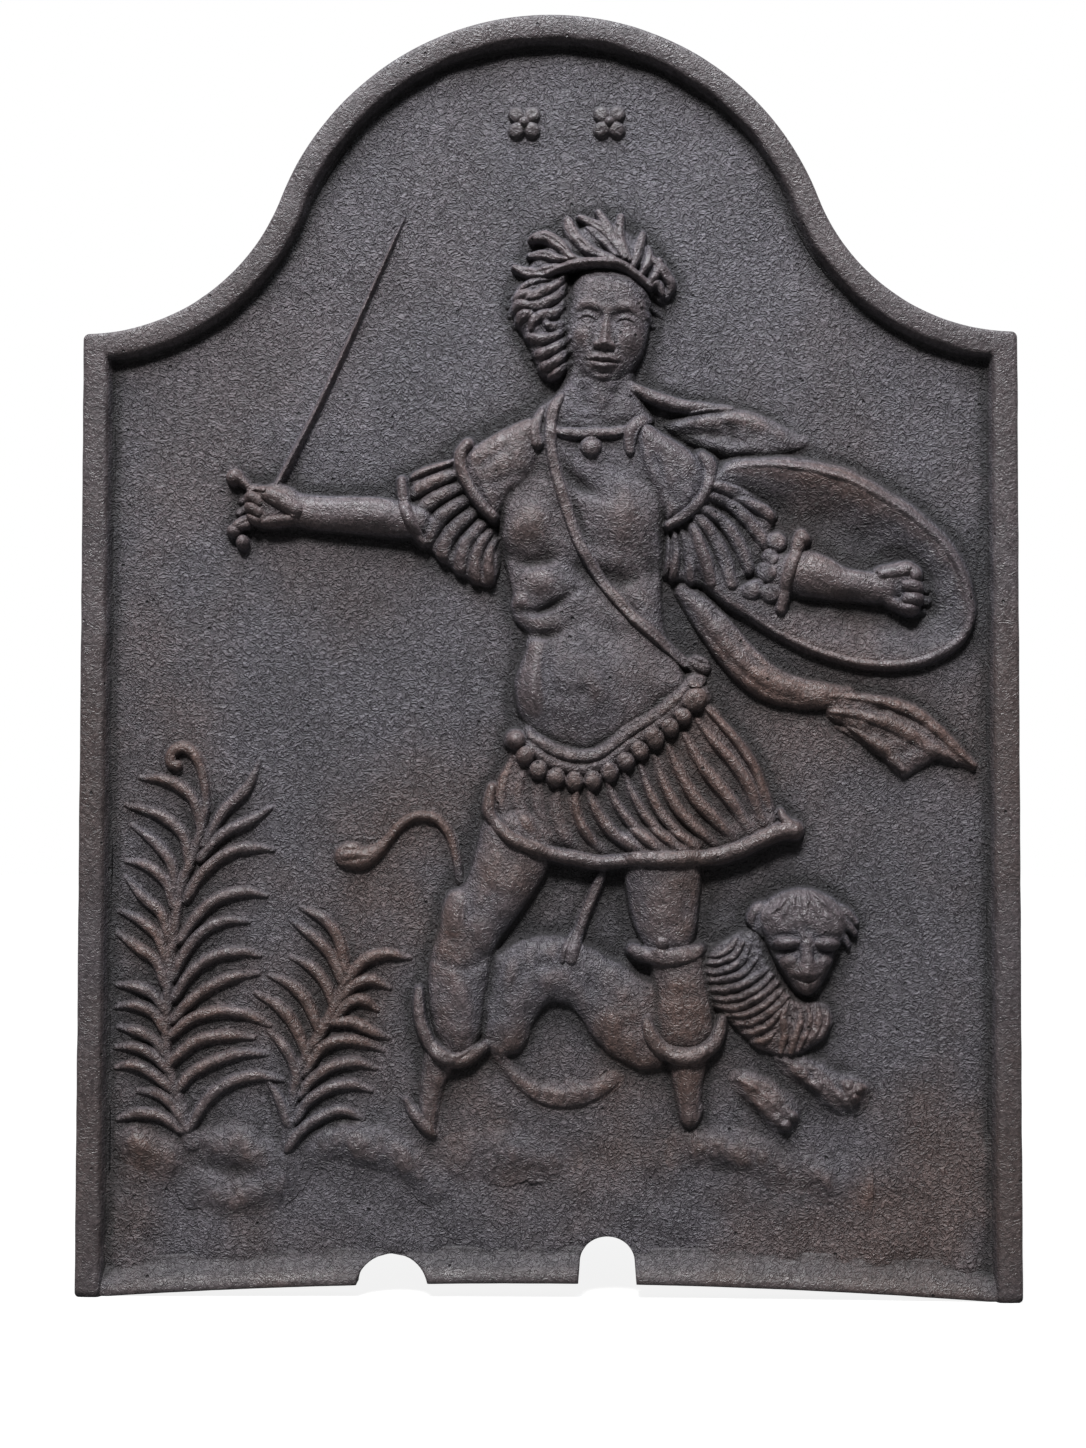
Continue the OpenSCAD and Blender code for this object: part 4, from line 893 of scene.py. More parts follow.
@relief(HIGH, (92, 142, 162, 212), 0.3, 1.6)
def lion_head(form):
    form.pad([(103, 187.6), (105.4, 194.6), (112.6, 200.6), (121, 203.6), (130, 204), (139.6, 201),
              (147, 195), (150.4, 187.4), (148.4, 179.6), (144.6, 172), (140.6, 163), (136, 154.6),
              (129.6, 149.8), (122.6, 152.6), (117, 160), (112.4, 168), (107.4, 178)], 10.4, 11, blend=2)
    # Locks at the temples and wavy hair over the crown.
    form.lines([
        [(110, 196, 2, 3), (104.6, 193.4, 3, 4.6), (101.6, 188.2, 2.8, 4.6), (103.2, 183.8, 1.8, 3)],
        [(112, 190.6, 1.8, 3), (107, 189, 2.6, 4.2), (105.4, 184.2, 2.6, 4.4), (107.4, 180.2, 1.6, 3)],
        [(143, 195.6, 2, 3), (148.4, 191.6, 2.8, 4.6), (153.4, 186.4, 1.8, 3)],
        [(144, 189.6, 2, 3.4), (148.6, 185.8, 3, 4.8), (152.6, 181.4, 1.8, 3)],
        [(144, 182.6, 1.6, 3), (147.4, 179, 2.4, 4), (149.6, 175, 1.4, 2.4)],
    ], on=form.at_least(1.4), blend=1.4)
    for k in range(12):
        lean = k - 5.5
        sway = 1.5 * math.sin(2.4 * k)
        form.fold([(127 + 1.1 * lean, 204.4 - 0.14 * lean ** 2, 0.9, 0.3),
                   (127 + 2.5 * lean + sway, 200 - 0.2 * lean ** 2, 1, 0.8),
                   (127 + 3.3 * lean, 195.4 - 0.16 * lean ** 2, 1, 0.8),
                   (127 + 3.6 * lean - sway, 190.6 - 0.08 * lean ** 2, 0.9, 0.3)])
    # Forehead, drooping lids over deep sockets, and full cheeks.
    form.swell(127, 187, 15, 7, 1.6)
    form.fold([(128.4, 186, 1.6, -0.5), (128.4, 179, 1.6, -1.1)])
    for x, z, tilt in ((118.2, 176.4, 4), (139.2, 175.8, -7)):
        form.swell(x, z - 4.6, 7, 3, -2.2)
        form.boss(x, z, 7, 3, 3.4, tilt, on=form.top() - 0.4, blend=0.5)
        form.fold([(x - 5.2, z - 2.9, 0.7, -0.4), (x, z - 3.7, 0.8, -1.2), (x + 5.2, z - 2.9, 0.7, -0.4)])
        form.fold([(x - 6, z + 3.6, 1.2, -0.6), (x, z + 4.4, 1.3, -0.9), (x + 6, z + 3.6, 1.2, -0.6)])
    form.swell(118.4, 167.4, 4.2, 4.6, 2.4, -25)
    form.swell(138.6, 167.6, 4, 4.6, 2.2, 25)
    # Nose, muzzle and mouth.
    form.fold([(128.4, 179, 2.6, 1.6), (128.4, 171, 2.9, 3.2), (128.6, 165, 3.6, 4.2),
               (128.6, 162.4, 4.2, 4.2)])
    form.folds(1, -1.1, [(125, 174), (124.6, 169), (123.6, 164.4)],
               [(132, 174), (132.4, 169), (133.6, 164.4)])
    form.swell(122, 161, 3, 2.6, 0.8)
    form.swell(134.8, 161, 2.8, 2.6, 0.8)
    form.fold([(122, 159.6, 0.8, -0.8), (125.6, 158, 0.9, -1.4), (128.8, 157.6, 0.9, -1.6),
               (132, 158.2, 0.9, -1.4), (135, 160, 0.8, -0.8)])
    form.swell(129, 153.8, 5.6, 3.4, 1.8)
    form.uneven(0.2, 6, 44)


@relief(LOW, (82, 74, 168, 132), 0.4, 2.6)
def lion_forelegs(form):
    form.pad([(91, 109), (100, 113), (111, 109), (119.4, 102.4), (126, 93.6), (123.4, 85), (114, 81.6),
              (106.6, 89), (97.6, 99)], 6.6, 11, kind="soft")
    form.pad([(112, 120), (126, 121.4), (137, 117.4), (146, 111.4), (155, 110), (160, 104), (155, 94.4),
              (145, 91.6), (136.4, 96.4), (128, 104), (118.6, 111)], 6.4, 11, kind="soft")
    form.folds(2.4, 1.6, [(99, 101), (106.6, 93.6), (113.6, 86.4)],
               [(120, 113.4), (131, 105.8), (139.6, 98.6)])
    for x, z, r in ((149.4, 106.6, 2.8), (154.8, 104.2, 2.6), (152.8, 98.8, 2.6), (118.4, 85.6, 3),
                    (123, 90, 2.8)):
        form.boss(x, z, r, r, 2.6, blend=1.2, on=form.top() - 0.6)
    form.folds(1.3, -1.2, [(113, 99), (117.6, 93), (117, 86)], [(141.6, 107), (146.8, 102.6), (146.6, 96)],
               [(103, 107), (106, 103.4), (104, 100)], [(128, 115), (131, 111), (130, 107)],
               [(108, 104), (111, 100), (109.4, 96)], [(134, 111), (137.4, 106.6), (136, 102)])
    form.uneven(0.45, 8, 45)
    form.uneven(0.12, 3.4, 48)


# ---- legs and scabbard -------------------------------------------------------------------

@relief(HIGH, (-62, 160, 14, 248), blend=1.8)
def right_thigh(form):
    form.pad([(-30, 240), (-35.5, 226), (-39, 213), (-43, 205), (-49, 202), (-52.5, 195), (-54, 187),
              (-53.4, 180), (-49.5, 174), (-43, 170.5), (-36, 168), (-30, 167.6), (-25.5, 171),
              (-22, 178), (-17.5, 184), (-11.5, 193), (-4.5, 203), (0.5, 212), (5, 226),
              (-8, 244)], 10.2, 14)
    form.swell(-47, 190, 5, 10, 1.7)
    form.swell(-32, 180, 5, 9, 1.6, 10)
    form.swell(-22, 208, 9, 18, 1.6, 28)
    form.folds(3.4, -1.4, [(-35, 208), (-39, 197), (-40, 186), (-41, 176)])
    form.uneven(0.25, 12, 51)


@relief(LOW, (-66, 110, -16, 196), blend=1.8)
def right_calf(form):
    form.pad([(-50, 190), (-56, 178), (-59.4, 166), (-60, 152), (-59, 141), (-57.4, 133), (-54.6, 126.4),
              (-50, 121), (-45, 118.6), (-40, 119), (-36.2, 122.4), (-33.4, 128), (-31, 136), (-29, 148),
              (-27, 160), (-25, 172), (-24, 184), (-36, 192)], 8.8, 13)
    form.swell(-43, 148, 6, 17, 1.5, 4)
    form.folds(2.6, -1.2, [(-60, 171), (-50, 165), (-40, 163), (-28, 168)])
    form.uneven(0.3, 11, 52)


@relief(LOW, (-80, 70, -34, 130), 0.4, 2.4)
def right_boot(form):
    form.pad([(-60, 126), (-62.6, 114), (-63.4, 103), (-64, 93), (-61.6, 85), (-57, 80), (-54.6, 88),
              (-52.8, 98), (-49.6, 108), (-42, 118), (-40, 125), (-50, 129)], 5.6, 8)
    form.line([(-70.4, 97.6, 1.8, 2.4), (-66.8, 91.6, 3, 4.2), (-63, 87, 3.3, 4.8), (-59.6, 83.4, 3, 4.4),
               (-57, 80.6, 2.2, 3)], blend=0.8)
    form.folds(1.8, -0.7, [(-57, 118), (-58, 106), (-60, 96)])
    form.uneven(0.3, 9, 53)


@relief(HIGH, (-76, 104, -18, 162), 0.4, 1.8)
def right_boot_cuff(form):
    form.line([(-64, 152, 2, 2.4), (-64, 145.6, 2.8, 3.8), (-63.2, 138.6, 3.2, 4.6), (-61.2, 131.4, 3.5, 5),
               (-57.6, 124.6, 3.7, 5.2), (-52.2, 119.6, 3.8, 5.4), (-46, 117.4, 3.9, 5.4),
               (-40.6, 118.6, 3.8, 5.2), (-35.6, 121.8, 3.5, 4.4), (-30.8, 125, 2.8, 2.8)],
              on=form.at_least(3.2) - 0.4, blend=0.8)
    form.folds(1.1, -0.6, [(-62, 140), (-56, 123.6), (-46, 118.6), (-37, 121.4)])
    form.uneven(0.25, 8, 54)


@relief(HIGH, (28, 162, 88, 238), blend=1.6)
def left_thigh(form):
    form.pad([(34, 234), (37, 214), (39, 200), (41.5, 188), (45, 179), (48, 172), (58, 167.5), (70, 170),
              (74, 180), (76, 196), (77.5, 212), (79, 230), (56, 236)], 10.4, 14)
    form.swell(57, 200, 8, 18, 1.7)
    form.swell(52, 182, 5, 6, 0.8)
    form.swell(67, 182, 5, 6, 0.8)
    form.folds(2.6, -0.9, [(47, 206), (48, 194), (50, 184)], [(69, 206), (69, 194), (66, 184)])
    form.uneven(0.25, 12, 55)


@relief(LOW, (42, 112, 94, 178), blend=1.8)
def left_calf(form):
    form.pad([(50, 172), (51, 160), (51.6, 148), (51.4, 138), (52.4, 132), (55.6, 126), (61, 122.4),
              (68, 121), (75, 122.4), (80.6, 126.4), (83.6, 132), (83, 142), (81.6, 154), (79.4, 164),
              (77.4, 173), (64, 175)], 8.8, 12)
    form.swell(66, 148, 7, 16, 1.3)
    form.folds(2.4, -0.8, [(55, 164), (55, 150), (57, 138)])
    form.uneven(0.3, 11, 56)


@relief(LOW, (52, 76, 94, 130), 0.4, 2)
def left_boot(form):
    form.pad([(57, 126), (60.4, 114), (63, 103), (65, 94), (66.6, 87), (70.6, 84), (75, 87), (76.4, 95),
              (77.6, 106), (80, 116), (83, 126), (70, 129)], 6.2, 8)
    form.line([(75.4, 98, 1.6, 2.4), (75.2, 92.6, 2.4, 3.6), (72.6, 87.6, 2.7, 3.8), (69.4, 86.4, 2, 2.6)],
              blend=0.8)
    form.swell(69.5, 110, 4, 12, 0.8)
    form.uneven(0.25, 9, 57)


@relief(HIGH, (34, 158, 86, 192), 0.4, 1.5)
def left_garter(form):
    form.line([(43, 172.4, 2.8, 3), (47, 171, 3.8, 4), (52, 169.8, 4.2, 4.4), (58, 169.2, 4.4, 4.4),
               (64, 169.6, 4.4, 4.4), (70, 170.8, 4.1, 4), (75, 172.4, 3, 3)],
              on=form.at_least(5.4) - 0.4, blend=0.7)
    form.boss(57, 176, 3.2, 3.6, 3, 15, blend=1)
    form.swell(57, 180.2, 2, 1.8, -3.2)
    form.uneven(0.25, 8, 58)


@relief(HIGH, (40, 106, 98, 150), 0.4, 1.8)
def left_boot_cuff(form):
    form.line([(49.8, 138.6, 2.4, 2.6), (50.8, 132.4, 3.4, 4.4), (54.4, 125.8, 3.9, 5),
               (60.4, 121.4, 4.2, 5.4), (68, 119.8, 4.4, 5.4), (75.4, 121, 4.2, 5.2),
               (81.6, 125.2, 3.9, 4.8), (85.2, 131.4, 3.4, 4.2), (86.8, 138, 2.4, 2.4)],
              on=form.at_least(3.4) - 0.4, blend=0.8)
    form.folds(1.2, -0.7, [(52, 132), (60, 123.6), (69, 121.8), (80, 126.6)])
    form.uneven(0.25, 8, 59)


@relief(HIGH, (0, 158, 38, 228), 0.4, 1.2)
def scabbard(form):
    form.line([(30, 220, 2.6, 4.4), (27.4, 211, 2.9, 4.8), (23, 200, 2.9, 4.8), (18.8, 190, 2.9, 4.8),
               (15.6, 181, 3.1, 4.6), (13.4, 174, 3.3, 3.8), (12, 168, 2.8, 2.4)], blend=0.8)
    form.line([(15, 184, 1.4, 3.6), (11, 178, 1.6, 3.4), (8.6, 172, 1.5, 2.6), (7.6, 167, 1.1, 1.4)],
              blend=0.8)
    form.folds(0.8, -0.5, [(28, 212), (22, 198), (16, 184)])
    form.uneven(0.15, 9, 60)


# ---- trunk -------------------------------------------------------------------------------

@relief(HIGH, (-34, 256, 84, 450), blend=1.6)
def torso(form):
    heights = np.interp(form.z, [262, 285, 305, 330, 352, 376, 400, 420, 440],
                        [7, 7.6, 7.8, 7.4, 7, 7.4, 7.8, 8, 6.6])
    form.pad([(-6, 440), (-16, 430), (-26, 412), (-28, 398), (-25, 386), (-25.5, 377), (-23, 368),
              (-20, 358), (-18, 350), (-19, 345), (-17, 337), (-12.5, 331), (-11.5, 324), (-14, 316),
              (-17, 308), (-17, 300), (-15, 290), (-9, 281), (0, 273), (10, 268), (22, 268), (38, 276),
              (54, 288), (66, 299), (70, 306), (66, 315), (61.5, 325), (58.5, 335), (57.5, 345),
              (57.5, 357), (58.5, 368), (59.5, 380), (61, 390), (64, 402), (62, 416), (54, 430),
              (44, 441), (20, 445)], heights, 12)
    # Breast and ribs.
    form.swell(-9, 386, 11, 11, 5, 15)
    form.swell(39, 390, 14, 15, 5.2, -12)
    form.swell(-2, 356, 8, 7, 3.6, -20)
    form.folds(6, -3.4, [(14, 364), (28, 359), (42, 358), (56, 362)])
    form.folds(4.2, -3.2, [(-24, 374), (-14, 367), (-5, 366), (6, 371)])
    form.folds(3.4, -2.6, [(8, 414), (15, 406), (26, 398)])
    form.folds(4.2, -1.8, [(10, 402), (14, 388), (16, 374)])
    form.folds(2.4, -3, [(-15, 341), (-5, 341), (4, 345), (14, 352)])
    form.folds(2.8, -1.8, [(50, 380), (52, 366), (51, 350)])
    form.folds(3.2, -1.6, [(30, 352), (36, 344), (46, 340)])
    # Waist and belly.
    form.swell(-14.5, 347, 4, 4, 2.2)
    form.folds(2.8, -2.8, [(-18, 333), (-9, 329.5), (2, 330), (12, 334)])
    form.swell(22, 306, 26, 21, 5.2, -10)
    form.swell(-7, 304, 6, 15, 2.8)
    form.folds(3.4, -2.2, [(0, 326), (-1, 312), (0, 298)])
    form.swell(18, 301, 3.2, 4.4, -2.2, 15)
    form.uneven(0.4, 16, 61)


@relief(HIGH, (-14, 424, 62, 476))
def neck(form):
    form.pad([(10, 470), (8, 460), (3, 452), (-4, 446), (-9, 439), (0, 432), (20, 428), (40, 431),
              (52, 438), (49, 446), (45, 454), (43, 463), (42, 472), (26, 476)], 7.4, 13)
    form.folds(3, -1.4, [(16, 462), (18, 450), (22, 440)], [(37, 462), (34, 450), (28, 440)])
    form.swell(26, 450, 7, 9, 1.2)
    form.uneven(0.25, 10, 62)


@relief(LOW, (28, 408, 144, 470), blend=2.4)
def cloak_upper(form):
    heights = np.interp(form.x, [60, 78, 104, 120, 132], [3.4, 5.6, 5.2, 3.8, 2])
    form.pad([(58, 436), (69, 441), (82, 443.6), (96, 444), (108, 440.4), (119, 434.6), (131, 427),
              (120, 421), (105, 417.5), (91, 418), (78, 422.4), (66, 429)], heights, 9, blend=1.5)
    form.folds(3.4, 1.4, [(62, 434), (78, 437.4), (98, 437.6), (116, 432)])
    form.folds(2.4, -1.5, [(86, 442), (90, 434), (96, 426)], [(66, 431), (82, 430.6), (98, 427)])
    form.folds(2.4, 1.1, [(80, 425), (94, 422.4), (110, 423.4)])
    form.line([(40, 456.4, 2.4, 3.6), (47.6, 451.8, 3.7, 6.2), (58, 447.4, 4.1, 6.8), (69, 444.6, 3.9, 6.2),
               (80, 444, 3.2, 4.8), (92, 443.6, 2.1, 2.6)], blend=1, on=np.minimum(form.top(), 1.2))
    form.uneven(0.3, 11, 63)


# The shield's rim, clockwise from its upper left, where it goes behind the shoulder.
SHIELD_RIM = [(90, 412), (105, 414.3), (120, 413.8), (135, 411.3), (150, 406.9), (164, 399.6), (179, 390.2),
              (193.5, 378.4), (203.2, 366), (209, 351.6), (210.8, 340), (208, 331), (201.7, 324),
              (189.4, 317.6), (175, 314.8), (160, 315.2), (145.5, 318.2), (131, 323.1), (116, 330.4),
              (101, 339.6)]


@relief(LOW, (56, 302, 222, 426), blend=1)
def shield_dish(form):
    """The shield's bowl: a thin skin that climbs to its rim all round, steepest at the top."""
    depth = form.depth_inside(curve(SHIELD_RIM + [(84, 352), (74, 372), (76, 396)], 5, closed=True))
    climb = np.clip(depth / 28, 0, 1)
    edge = np.interp(form.z, [316, 332, 360, 392], [3.8, 4.4, 7.4, 9.2])
    bowl = 0.4 + edge * (1 - climb * climb * (3 - 2 * climb)) ** 1.4
    outside = (edge + 0.4) * (1 - (np.maximum(-depth, 0) / (0.78 * edge)) ** 1.5)
    form.add(np.where(depth > 0, bowl, outside), 0.1)
    form.swell(128, 350, 26, 15, 0.6)
    form.uneven(0.3, 20, 64)


@relief(HIGH, (74, 302, 222, 428), 0.4, 2)
def shield_rim(form):
    count = np.arange(len(SHIELD_RIM))
    widths = np.interp(count, [0, 3, 8, 12, 16, 19], [2.4, 3.2, 3.2, 2.9, 2.3, 1.8])
    rises = np.interp(count, [0, 2, 6, 8, 10, 12, 16, 19], [8.6, 10.4, 10.2, 8.8, 6.6, 5.3, 5, 4.6])
    form.line([(x, z, w, r) for (x, z), w, r in zip(SHIELD_RIM, widths, rises)], steps=10, on=0)
    form.uneven(0.25, 14, 65)


@relief(LOW, (54, 280, 166, 362), blend=1.4)
def cloak_lower(form):
    form.line([(68, 352, 5, 4), (76, 343, 7.5, 6.2), (85, 332, 9, 7.6), (93, 321.5, 9.6, 8),
               (101, 313, 9.6, 7.8), (111, 305.6, 9, 7.2), (125, 301, 8, 6.4), (140, 299.4, 6.5, 5.4),
               (150, 300, 4, 3)], on=0)
    form.folds(1.8, -1.3, [(76, 347), (88, 334), (100, 320), (113, 310.5), (128, 306)],
               [(72, 341), (84, 325), (96, 312), (110, 301.5), (126, 296.5)])
    form.folds(1.3, -0.6, [(80, 341), (92, 326), (104, 314), (120, 305)])
    form.uneven(0.3, 12, 66)


@relief(LOW, (130, 252, 224, 314), blend=1.6)
def cloak_tail(form):
    form.pad([(140, 297), (150, 301), (164, 300), (178, 297.5), (190, 291), (201, 280), (214, 264),
              (206, 264.5), (196, 268), (186, 263), (177, 259), (168, 267), (159, 275), (148, 284),
              (140, 289)], 4.4, 7)
    form.rolls([
        (3.4, [(141, 299), (152, 299), (166, 297), (180, 292.5), (193, 284), (204, 274), (213, 265)]),
        (3.6, [(141, 291.5), (154, 290), (168, 286), (182, 279), (194, 271.5), (203, 266)]),
        (3.2, [(144, 284), (155, 279.5), (166, 272), (177, 262)]),
    ], 2.6, blend=1.4, sunk=0.7, start=0.3, end=0.5)
    form.folds(1.4, -0.9, [(158, 294), (172, 291), (186, 285), (198, 275)],
               [(160, 284), (170, 277), (178, 269)])
    form.uneven(0.35, 10, 67)


# ---- skirt and belt ----------------------------------------------------------------------

@relief(LOW, (-40, 208, 134, 306))
def skirt(form):
    heights = np.interp(form.z, [216, 240, 270, 300], [6, 5.8, 5.2, 4.6])
    form.pad([(-14, 276), (-21, 266), (-26, 256), (-29, 245), (-26, 236), (-12, 227), (6, 221), (26, 216),
              (50, 218), (74, 218.5), (96, 223), (113, 230), (115, 240), (110, 254), (102, 270), (91, 285),
              (79, 297), (60, 290), (36, 272), (10, 260)], heights, 6)
    form.rolls([
        (3.4, [(-15, 272), (-20, 264), (-23.5, 254), (-23, 244), (-17, 235)]),
        (3.6, [(-9, 264), (-14, 256), (-14.5, 246), (-10, 237), (-5, 230)]),
        (3.4, [(-2, 258), (-4.5, 250), (-4, 241), (-1, 233), (3, 226)]),
        (3.4, [(6, 254), (4, 246), (5, 238), (8, 230), (12, 224)]),
    ], 2.9, blend=0.8, fall=0.5)
    form.rolls([
        (3.2, [(15, 254), (14, 246), (16, 237.5), (20, 230), (26, 223)]),
        (3.8, [(20, 254), (23.5, 243.5), (29.5, 234.5), (37, 227.5), (46, 221.5)]),
        (3.3, [(29, 257), (34.2, 245.5), (41, 236.2), (48.5, 228.5), (56, 222)]),
        (3.2, [(38, 261), (43, 249), (49.3, 238.6), (57, 230.2), (66, 223)]),
        (3.3, [(46, 265), (50.4, 252), (56.6, 240.4), (64.6, 231.4), (75, 223.4)]),
        (3.4, [(53, 269), (58, 255), (64.4, 243.4), (73.2, 234), (84, 225)]),
        (3.6, [(60, 274), (66, 260.6), (73, 248.6), (82, 239), (93, 228)]),
        (3.8, [(68, 280), (74.4, 268), (82.2, 257.6), (91, 247), (101, 232)]),
        (3.6, [(74.6, 287), (83, 276), (92, 266.6), (100, 254), (107, 236)]),
        (3.4, [(79, 293), (88.4, 283.8), (97.4, 273.4), (104.6, 261.4), (110.5, 243)]),
    ], 6, blend=0.3, sunk=1.9, fall=0.5)
    form.folds(1.4, -0.8, [(14, 250), (17, 240), (22, 232), (30, 226)])
    form.uneven(0.2, 10, 71)


@relief(HIGH, (-42, 204, 136, 258), 0.4, 0.8)
def skirt_hem(form):
    level = np.maximum(blurred(form.below, 12), 6.2)
    form.line([(-27.5, 253, 1.8, 2.4), (-29, 246, 2.7, 3.8), (-28.2, 239, 3, 4.2), (-21, 230.5, 3.2, 4.4),
               (-11, 224.8, 3.3, 4.4), (2, 220.6, 3.4, 4.4), (15, 218, 3.4, 4.4), (26, 216, 3.4, 4.4),
               (31, 216.4, 3.4, 4.4), (45, 217.8, 3.7, 4.4), (62, 218, 3.9, 4.4), (80, 218.8, 3.9, 4.4),
               (94, 222.4, 3.9, 4.4), (106, 227.8, 3.8, 4.4), (115.5, 231.8, 3.8, 4.4),
               (122.5, 232.4, 3.6, 3.8)], on=level, blend=0.5)
    form.line([(116, 241.5, 1.6, 3), (117.6, 238, 2.3, 4), (121, 234.5, 2.6, 4.2)],
              on=form.at_least(4.6), blend=0.4)
    form.folds(1, -0.5, [(-22, 233), (-8, 226), (10, 221), (26, 218.4), (44, 219.6), (66, 219.8),
                         (88, 222.6)])
    form.uneven(0.25, 9, 72)


@relief(HIGH, (-28, 250, 90, 322), 0.4, 1.2)
def waist_belt(form):
    """A belt of two soft rolls round the belly."""
    level = np.interp(form.x, [-19, -9, 66, 78], [0, 6.4, 6.4, 3])
    form.line([(-10, 277, 4, 0.8), (-4, 272, 6, 1.6), (6, 267, 7, 1.8), (20, 265.4, 7.2, 1.8),
               (34, 271, 7.2, 1.8), (50, 283.4, 7, 1.8), (62, 293, 6, 1.6), (69, 300, 4, 0.8)],
              kind="soft", blend=0.8, on=form.at_least(level))
    ground = form.top() - 0.5
    form.lines([
        [(-13, 284, 2.4, 1.6), (-8, 279.5, 3.2, 2.8), (-2, 275.4, 3.4, 3), (5, 271.6, 3.4, 3),
         (14, 269.4, 3.4, 3), (24, 270, 3.4, 3), (32, 275, 3.4, 3), (42, 282.6, 3.4, 3),
         (54, 289.6, 3.3, 2.8), (63, 297, 3.1, 2.6), (71, 305.5, 2.6, 1.8)],
        [(-13.5, 277.5, 2.2, 1.4), (-8, 272.6, 2.8, 2.2), (-1, 267, 2.9, 2.4), (7, 263.4, 2.9, 2.4),
         (18, 261.8, 2.9, 2.4), (28, 264.6, 2.9, 2.4), (38, 272, 2.9, 2.4), (50, 280.6, 2.8, 2.2),
         (60, 288.2, 2.7, 2.2), (67, 295, 2.5, 1.8), (72, 301, 2.1, 1.4)],
    ], blend=0.9, on=ground)
    form.uneven(0.25, 8, 73)


@relief(HIGH, (-26, 246, 86, 320), 0.3)
def belt_beads(form):
    beads = [(-15.4, 277, 4.4), (-11, 269.3, 4.7), (-4.6, 262.3, 4.7), (4.2, 258.4, 4.8),
             (13.4, 256.6, 4.8), (22.6, 257, 4.7), (31, 261, 4.8), (38.8, 266.4, 4.5), (46, 271.8, 4.7),
             (53.4, 277.8, 4.9), (61, 283.4, 4.6), (67.4, 289, 4.1)]
    ground = np.maximum(blurred(form.below, 8), 7.2) - 0.6
    for k, (x, z, r) in enumerate(beads):
        form.boss(x, z, r, r * (1 + 0.06 * math.sin(3 * k)), 4.6, 40 * k, blend=0.7, on=ground)
    form.boss(73, 297.2, 6.4, 5.4, 4.8, 35, blend=0.6, on=ground)
    form.uneven(0.25, 7, 74)


# ---- shoulders, sleeves and straps -------------------------------------------------------

@relief(HIGH, (-56, 376, 6, 452))
def right_shoulder(form):
    form.pad([(-43, 420), (-38, 425), (-30, 430), (-20, 435.5), (-8, 439.5), (-3, 430), (-3, 416),
              (-11, 404), (-18, 399), (-25, 387), (-31, 390), (-37, 399), (-42, 409)], 11.2, 9)
    form.swell(-24, 417, 10, 8, 1.2, 25)
    form.folds(3, -1.2, [(-32, 404), (-22, 407), (-10, 412)], [(-38, 412), (-28, 418), (-18, 426)])
    form.uneven(0.25, 11, 81)


@relief(HIGH, (34, 374, 92, 452))
def left_shoulder(form):
    form.pad([(48, 437), (58, 432), (69, 425), (78, 417), (81, 408), (78, 397), (70, 389), (60, 384.5),
              (55.5, 391), (50.5, 402), (46, 412), (43, 421), (43, 430)], 11.6, 8)
    form.swell(64, 414, 9, 10, 1.2, -30)
    form.folds(2.4, -1.3, [(50, 424), (56, 410), (62, 396)])
    form.uneven(0.25, 11, 82)


@relief(LOW, (-80, 348, -18, 426), 0.4, 1)
def right_sleeve(form):
    form.pad([(-42, 420), (-56, 416), (-69, 411), (-70, 400), (-67, 388), (-62, 375), (-53, 366),
              (-43, 359), (-30, 354), (-24, 364), (-25, 380), (-33, 392), (-40, 408)], 4.8, 5)
    form.rolls([
        (2.7, [(-43, 418.6), (-53, 416), (-62, 413), (-69, 409.6)]),
        (4.1, [(-42.6, 412), (-52, 408.8), (-61, 405), (-68.6, 400.6)]),
        (4.5, [(-39, 405.6), (-50, 401.6), (-59, 396.4), (-65.6, 390)]),
        (4.6, [(-36, 400), (-46.4, 394.6), (-55, 387.4), (-60.6, 377.6)]),
        (4.5, [(-33, 393.4), (-41, 388.4), (-49.4, 380), (-53.4, 369.4)]),
        (4.2, [(-29.6, 388), (-35.6, 382.8), (-42, 374), (-44.4, 362.6)]),
        (3.6, [(-27.4, 383), (-33, 376.6), (-36.4, 367.4), (-36.6, 357.6)]),
        (3, [(-25.4, 378), (-29.2, 371.4), (-30, 364.4), (-28.6, 356.6)]),
    ], 4.6)
    form.uneven(0.18, 8, 83)


@relief(LOW, (52, 344, 124, 414), 0.4, 1)
def left_sleeve(form):
    form.pad([(80, 407), (92, 402), (104, 398.5), (113, 393), (113, 382), (110, 371), (104, 361), (95, 354),
              (84, 353), (74, 354), (66, 356), (59, 359), (58, 372), (60, 385), (72, 392)], 5, 5)
    form.rolls([
        (4.3, [(80, 405), (90, 402), (101, 396.6), (112, 389.6)]),
        (3.9, [(79, 399.6), (90, 395.6), (99.6, 387.4), (110, 373.6)]),
        (4.1, [(76, 393.4), (85.6, 388), (93.6, 378.4), (101.4, 361.6)]),
        (4.2, [(72.6, 389.6), (80.4, 382.6), (87, 371.4), (92, 355.6)]),
        (4, [(68.4, 387), (74, 378.4), (78.6, 367.4), (81, 355.6)]),
        (3.4, [(65.6, 385.6), (69, 376.4), (70.8, 366.4), (71.4, 356.6)]),
        (2.7, [(62.6, 384), (64, 375.4), (63.8, 366.4), (62.4, 357.6)]),
        (1.9, [(59.8, 382), (60, 374), (59.6, 366), (58.6, 360)]),
    ], 4.6)
    form.uneven(0.16, 8, 84)


def shoulder_band(form, rows, seed):
    """A narrow roll round the top of a sleeve."""
    form.line(rows, on=form.at_least(8), blend=0.4)
    form.uneven(0.15, 9, seed)


@relief(HIGH, (-56, 378, -14, 434), 0.35, 0.9)
def right_shoulder_band(form):
    shoulder_band(form, [
        (-40.4, 425.4, 2, 2.4), (-43.4, 420.4, 2.7, 3.4), (-43.4, 413, 2.9, 3.8), (-40.4, 405.6, 2.9, 3.8),
        (-36.4, 399, 2.9, 3.8), (-32, 393.4, 2.8, 3.6), (-27.4, 389, 2.2, 2.6)], 85)


